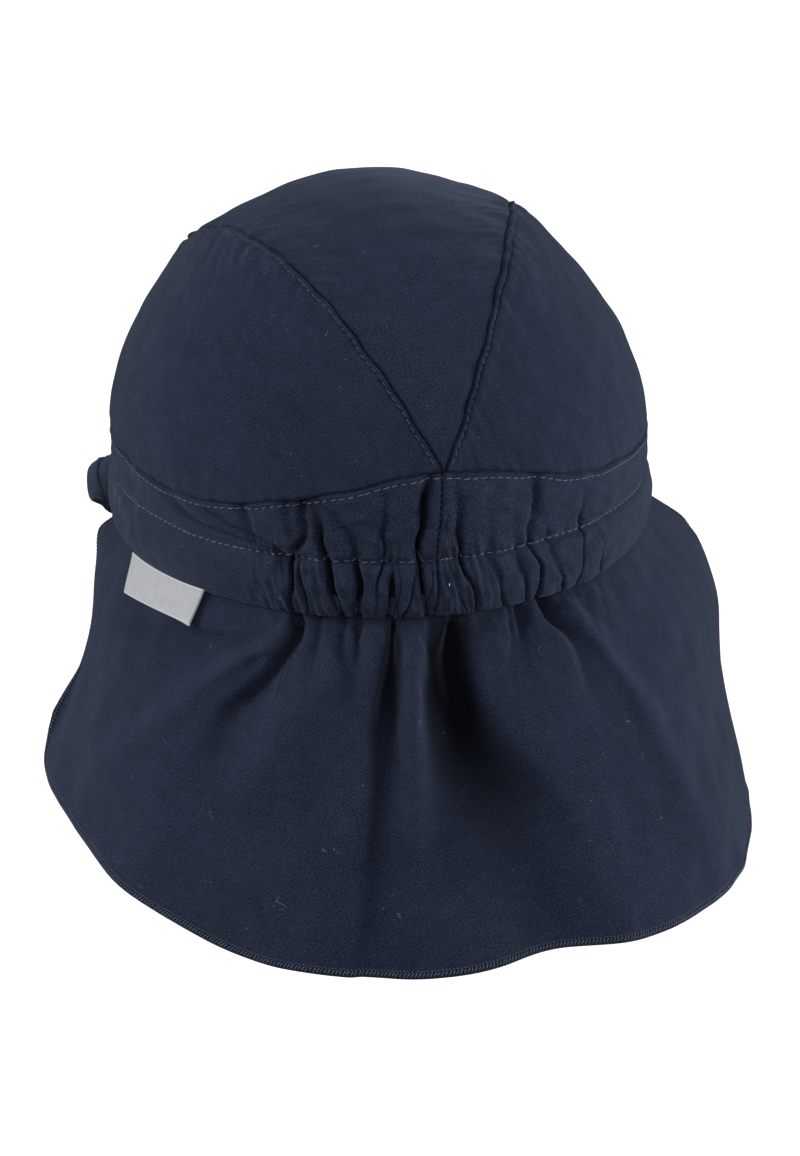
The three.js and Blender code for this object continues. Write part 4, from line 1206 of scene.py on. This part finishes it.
share_line = np.sin(np.linspace(-math.pi / 2, math.pi / 2, PEAK_ACROSS))
share_line = 0.5 * share_line + 0.5 * np.linspace(-1, 1, PEAK_ACROSS)
out_line = 1 - (1 - np.linspace(0, 1, PEAK_OUT)) ** 1.25
share_grid, out_grid = np.meshgrid(share_line, out_line, indexing="ij")
upper, span = peak_point(share_grid, out_grid)
upper_normal = unit(np.cross(np.gradient(upper, axis=1), np.gradient(upper, axis=0)))
upper_normal *= np.sign(upper_normal[..., 2:])
from_edge = span * (1 - out_grid)
edge_track = np.broadcast_to(along_line(upper[:, -1])[:, None], span.shape)
full_peak = smooth(span / PEAK_FULL_WIDTH)
quilt = soft_noise(paired(edge_track, 0), QUILT_PITCH, 91)
raised = (
    QUILT_RISE * bump_at(from_edge, PEAK_STITCH_IN / 2, 1.6) * (1 + 0.7 * quilt)
    - PEAK_GROOVE * bump_at(from_edge, PEAK_STITCH_IN, 0.6)
    + 0.25 * quilt * np.exp(-np.abs(from_edge - PEAK_STITCH_IN) / 2.5)
    + 0.2 * soft_noise(upper, 26, 92)
) * full_peak * smooth(out_grid * 6)
past_end = np.clip((np.abs(share_grid) - 1 + PEAK_END_ROUND) / PEAK_END_ROUND, 0, 1)
end_round = np.sqrt(1 - past_end**2)
half_wall = PEAK_THICKNESS / 2 * end_round
core = upper - upper_normal * PEAK_THICKNESS / 2
top_face = core + upper_normal * (half_wall + raised * end_round)[..., None]
low_face = core - upper_normal * half_wall[..., None]
edge_way = unit(upper[:, -1:] - upper[:, -2:-1])
edge_angle = np.linspace(math.pi / 2, -math.pi / 2, PEAK_EDGE_STEPS + 2)[1:-1, None]
bulge = upper_normal[:, -1:] * np.sin(edge_angle) + edge_way * np.cos(edge_angle)
edge_face = core[:, -1:] + bulge * half_wall[:, -1:, None]
section = np.concatenate([top_face, edge_face, low_face[:, ::-1], top_face[:, :1]], axis=1)
peak_flat = paired(edge_track[:, :1], along_rows(section))
peak_piece = tube_object("peak_piece", section, peak_flat)
# The peak's cloth is painted a quarter lighter, for the light that falls on it: painted light.
peak_piece.data.materials.append(navy_cotton("peak_cotton", 7, lightness=1.25))
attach(peak_piece, "root")
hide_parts("peak")

rim_line, rim_normal = [], []
for top_row, normal_row, reach in zip(top_face, upper_normal, span[:, 0]):
    if reach > PEAK_STITCH_IN + 1.5:
        place = np.interp(reach - PEAK_STITCH_IN, reach * out_line, np.arange(PEAK_OUT))
        rim_line.append(line_at(top_row, np.arange(PEAK_OUT), place))
        rim_normal.append(normal_row[int(place)])
rim_run = stitches(np.stack(rim_line), np.stack(rim_normal), *SEWN, 93)
thread_object("peak_stitching", [rim_run], dim_thread)

# Side label
# A folded woven tag caught in the casing's lower seam on the wearer's left. It lies on the flap and
# its fold stands a little proud. It is bare.
LABEL_LENGTH = 36.5
LABEL_HEIGHT = 9.4
LABEL_START = 0.585
LABEL_TOP = 0.003
PROBE_SHARE = 0.01
DROP_AT_LABEL = 0.9
LABEL_FREE_SHARE = 0.35
LABEL_STAND = 0.45
LABEL_LAYERS_APART = 0.55
LABEL_FREE_LIFT = 1.5
LABEL_FOLD_STEPS = 9
LABEL_CLOTH = 0.3
LABEL_ROWS = 25
LABEL_STEPS = 49
LABEL_SKEW = 7
RIB_PITCH = 0.55
CROSS_RIB_PITCH = 0.22
TAG_DARK = (0.33, 0.34, 0.36, 1)
TAG_LIGHT = (0.54, 0.55, 0.575, 1)
TAG_SELVEDGE = (0.68, 0.69, 0.7, 1)

label_probe = np.array([LABEL_START, LABEL_START + PROBE_SHARE])
probe_length = np.linalg.norm(np.diff(flap_point(label_probe, [0]), axis=0))
label_share = PROBE_SHARE * LABEL_LENGTH / probe_length
label_at = LABEL_START + label_share * np.linspace(0, 1, LABEL_STEPS)
label_down = LABEL_TOP + np.linspace(0, 1, LABEL_ROWS) * LABEL_HEIGHT / (FLAP_DROP * DROP_AT_LABEL)
under = flap_point(label_at, label_down)
along_label = np.linspace(0, 1, LABEL_STEPS)[:, None, None]
down_label = np.linspace(0, 1, LABEL_ROWS)[None, :, None]
slid = LABEL_SKEW * along_label * (0.5 - down_label)
bowed = 1.6 * along_label * (1 - along_label) * down_label
sunk = 0.4 * along_label + (1.5 * along_label - 0.8) * down_label - bowed
under = under + unit(np.gradient(under, axis=0)) * slid + unit(np.gradient(under, axis=1)) * sunk
label_normal = outward_normals(under)
free = LABEL_FREE_LIFT * smooth(1 - along_label[..., 0] / LABEL_FREE_SHARE)
front_layer = under + label_normal * (LABEL_STAND + LABEL_LAYERS_APART + free)[..., None]
rear_layer = under + label_normal * (LABEL_STAND + free * 0.7)[..., None]
fold_way = unit(front_layer[:1] - front_layer[1:2])
fold_turn = np.linspace(math.pi / 2, -math.pi / 2, LABEL_FOLD_STEPS)[1:-1, None, None]
fold_middle = (front_layer[:1] + rear_layer[:1]) / 2
fold_half = (front_layer[:1] - rear_layer[:1]) / 2
fold_edge = fold_middle + fold_half * np.sin(fold_turn) + fold_way * 0.5 * np.cos(fold_turn)
label_shape = np.concatenate([front_layer[::-1], fold_edge, rear_layer])
label_flat = paired(along_line(label_shape[:, 0])[:, None], np.linspace(0, LABEL_HEIGHT, LABEL_ROWS))
behind_label = fold_middle.mean(axis=(0, 1)) - fold_half[0, 0] * 40
label = give_thickness(cloth_object("label", label_shape, label_flat, middle=behind_label), LABEL_CLOTH)


def woven_tag():
    """Fine ribbed tape: close ribs across its width, paler along its two selvedges."""
    material, wire = new_material("grey_woven_tag")
    cloth = wire.node("ShaderNodeUVMap", {"uv_map": "cloth"}, {})
    parts = wire.node("ShaderNodeSeparateXYZ", {}, {"Vector": cloth})
    across = Wire(parts.tree, parts.socket.node.outputs[1])
    rib = wire.math("SINE", parts * (2 * math.pi / (RIB_PITCH * MM))) * 0.5 + 0.5
    cross_rib = wire.math("SINE", across * (2 * math.pi / (CROSS_RIB_PITCH * MM))) * 0.5 + 0.5
    mottle = cloth.noise(400, 4)
    from_middle = wire.math("ABSOLUTE", across * (1 / (LABEL_HEIGHT * MM)) - 0.5)
    tone = rib * 0.3 + cross_rib * 0.2 + mottle * 0.6 - 0.05
    colour = mixed(tone, TAG_DARK, TAG_LIGHT)
    colour = mixed(from_middle.ranged(0.44, 0.48) * 0.6, colour, TAG_SELVEDGE)
    bump = (rib * cross_rib).bump(0.5, 0.1)
    varying = {"Base Color": colour, "Roughness": mottle.ranged(0, 1, 0.6, 0.8), "Normal": bump}
    return finish_material(material, varying, {"Specular IOR Level": 0.3})


label.data.materials.append(woven_tag())
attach(label, "root")
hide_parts("side_label")
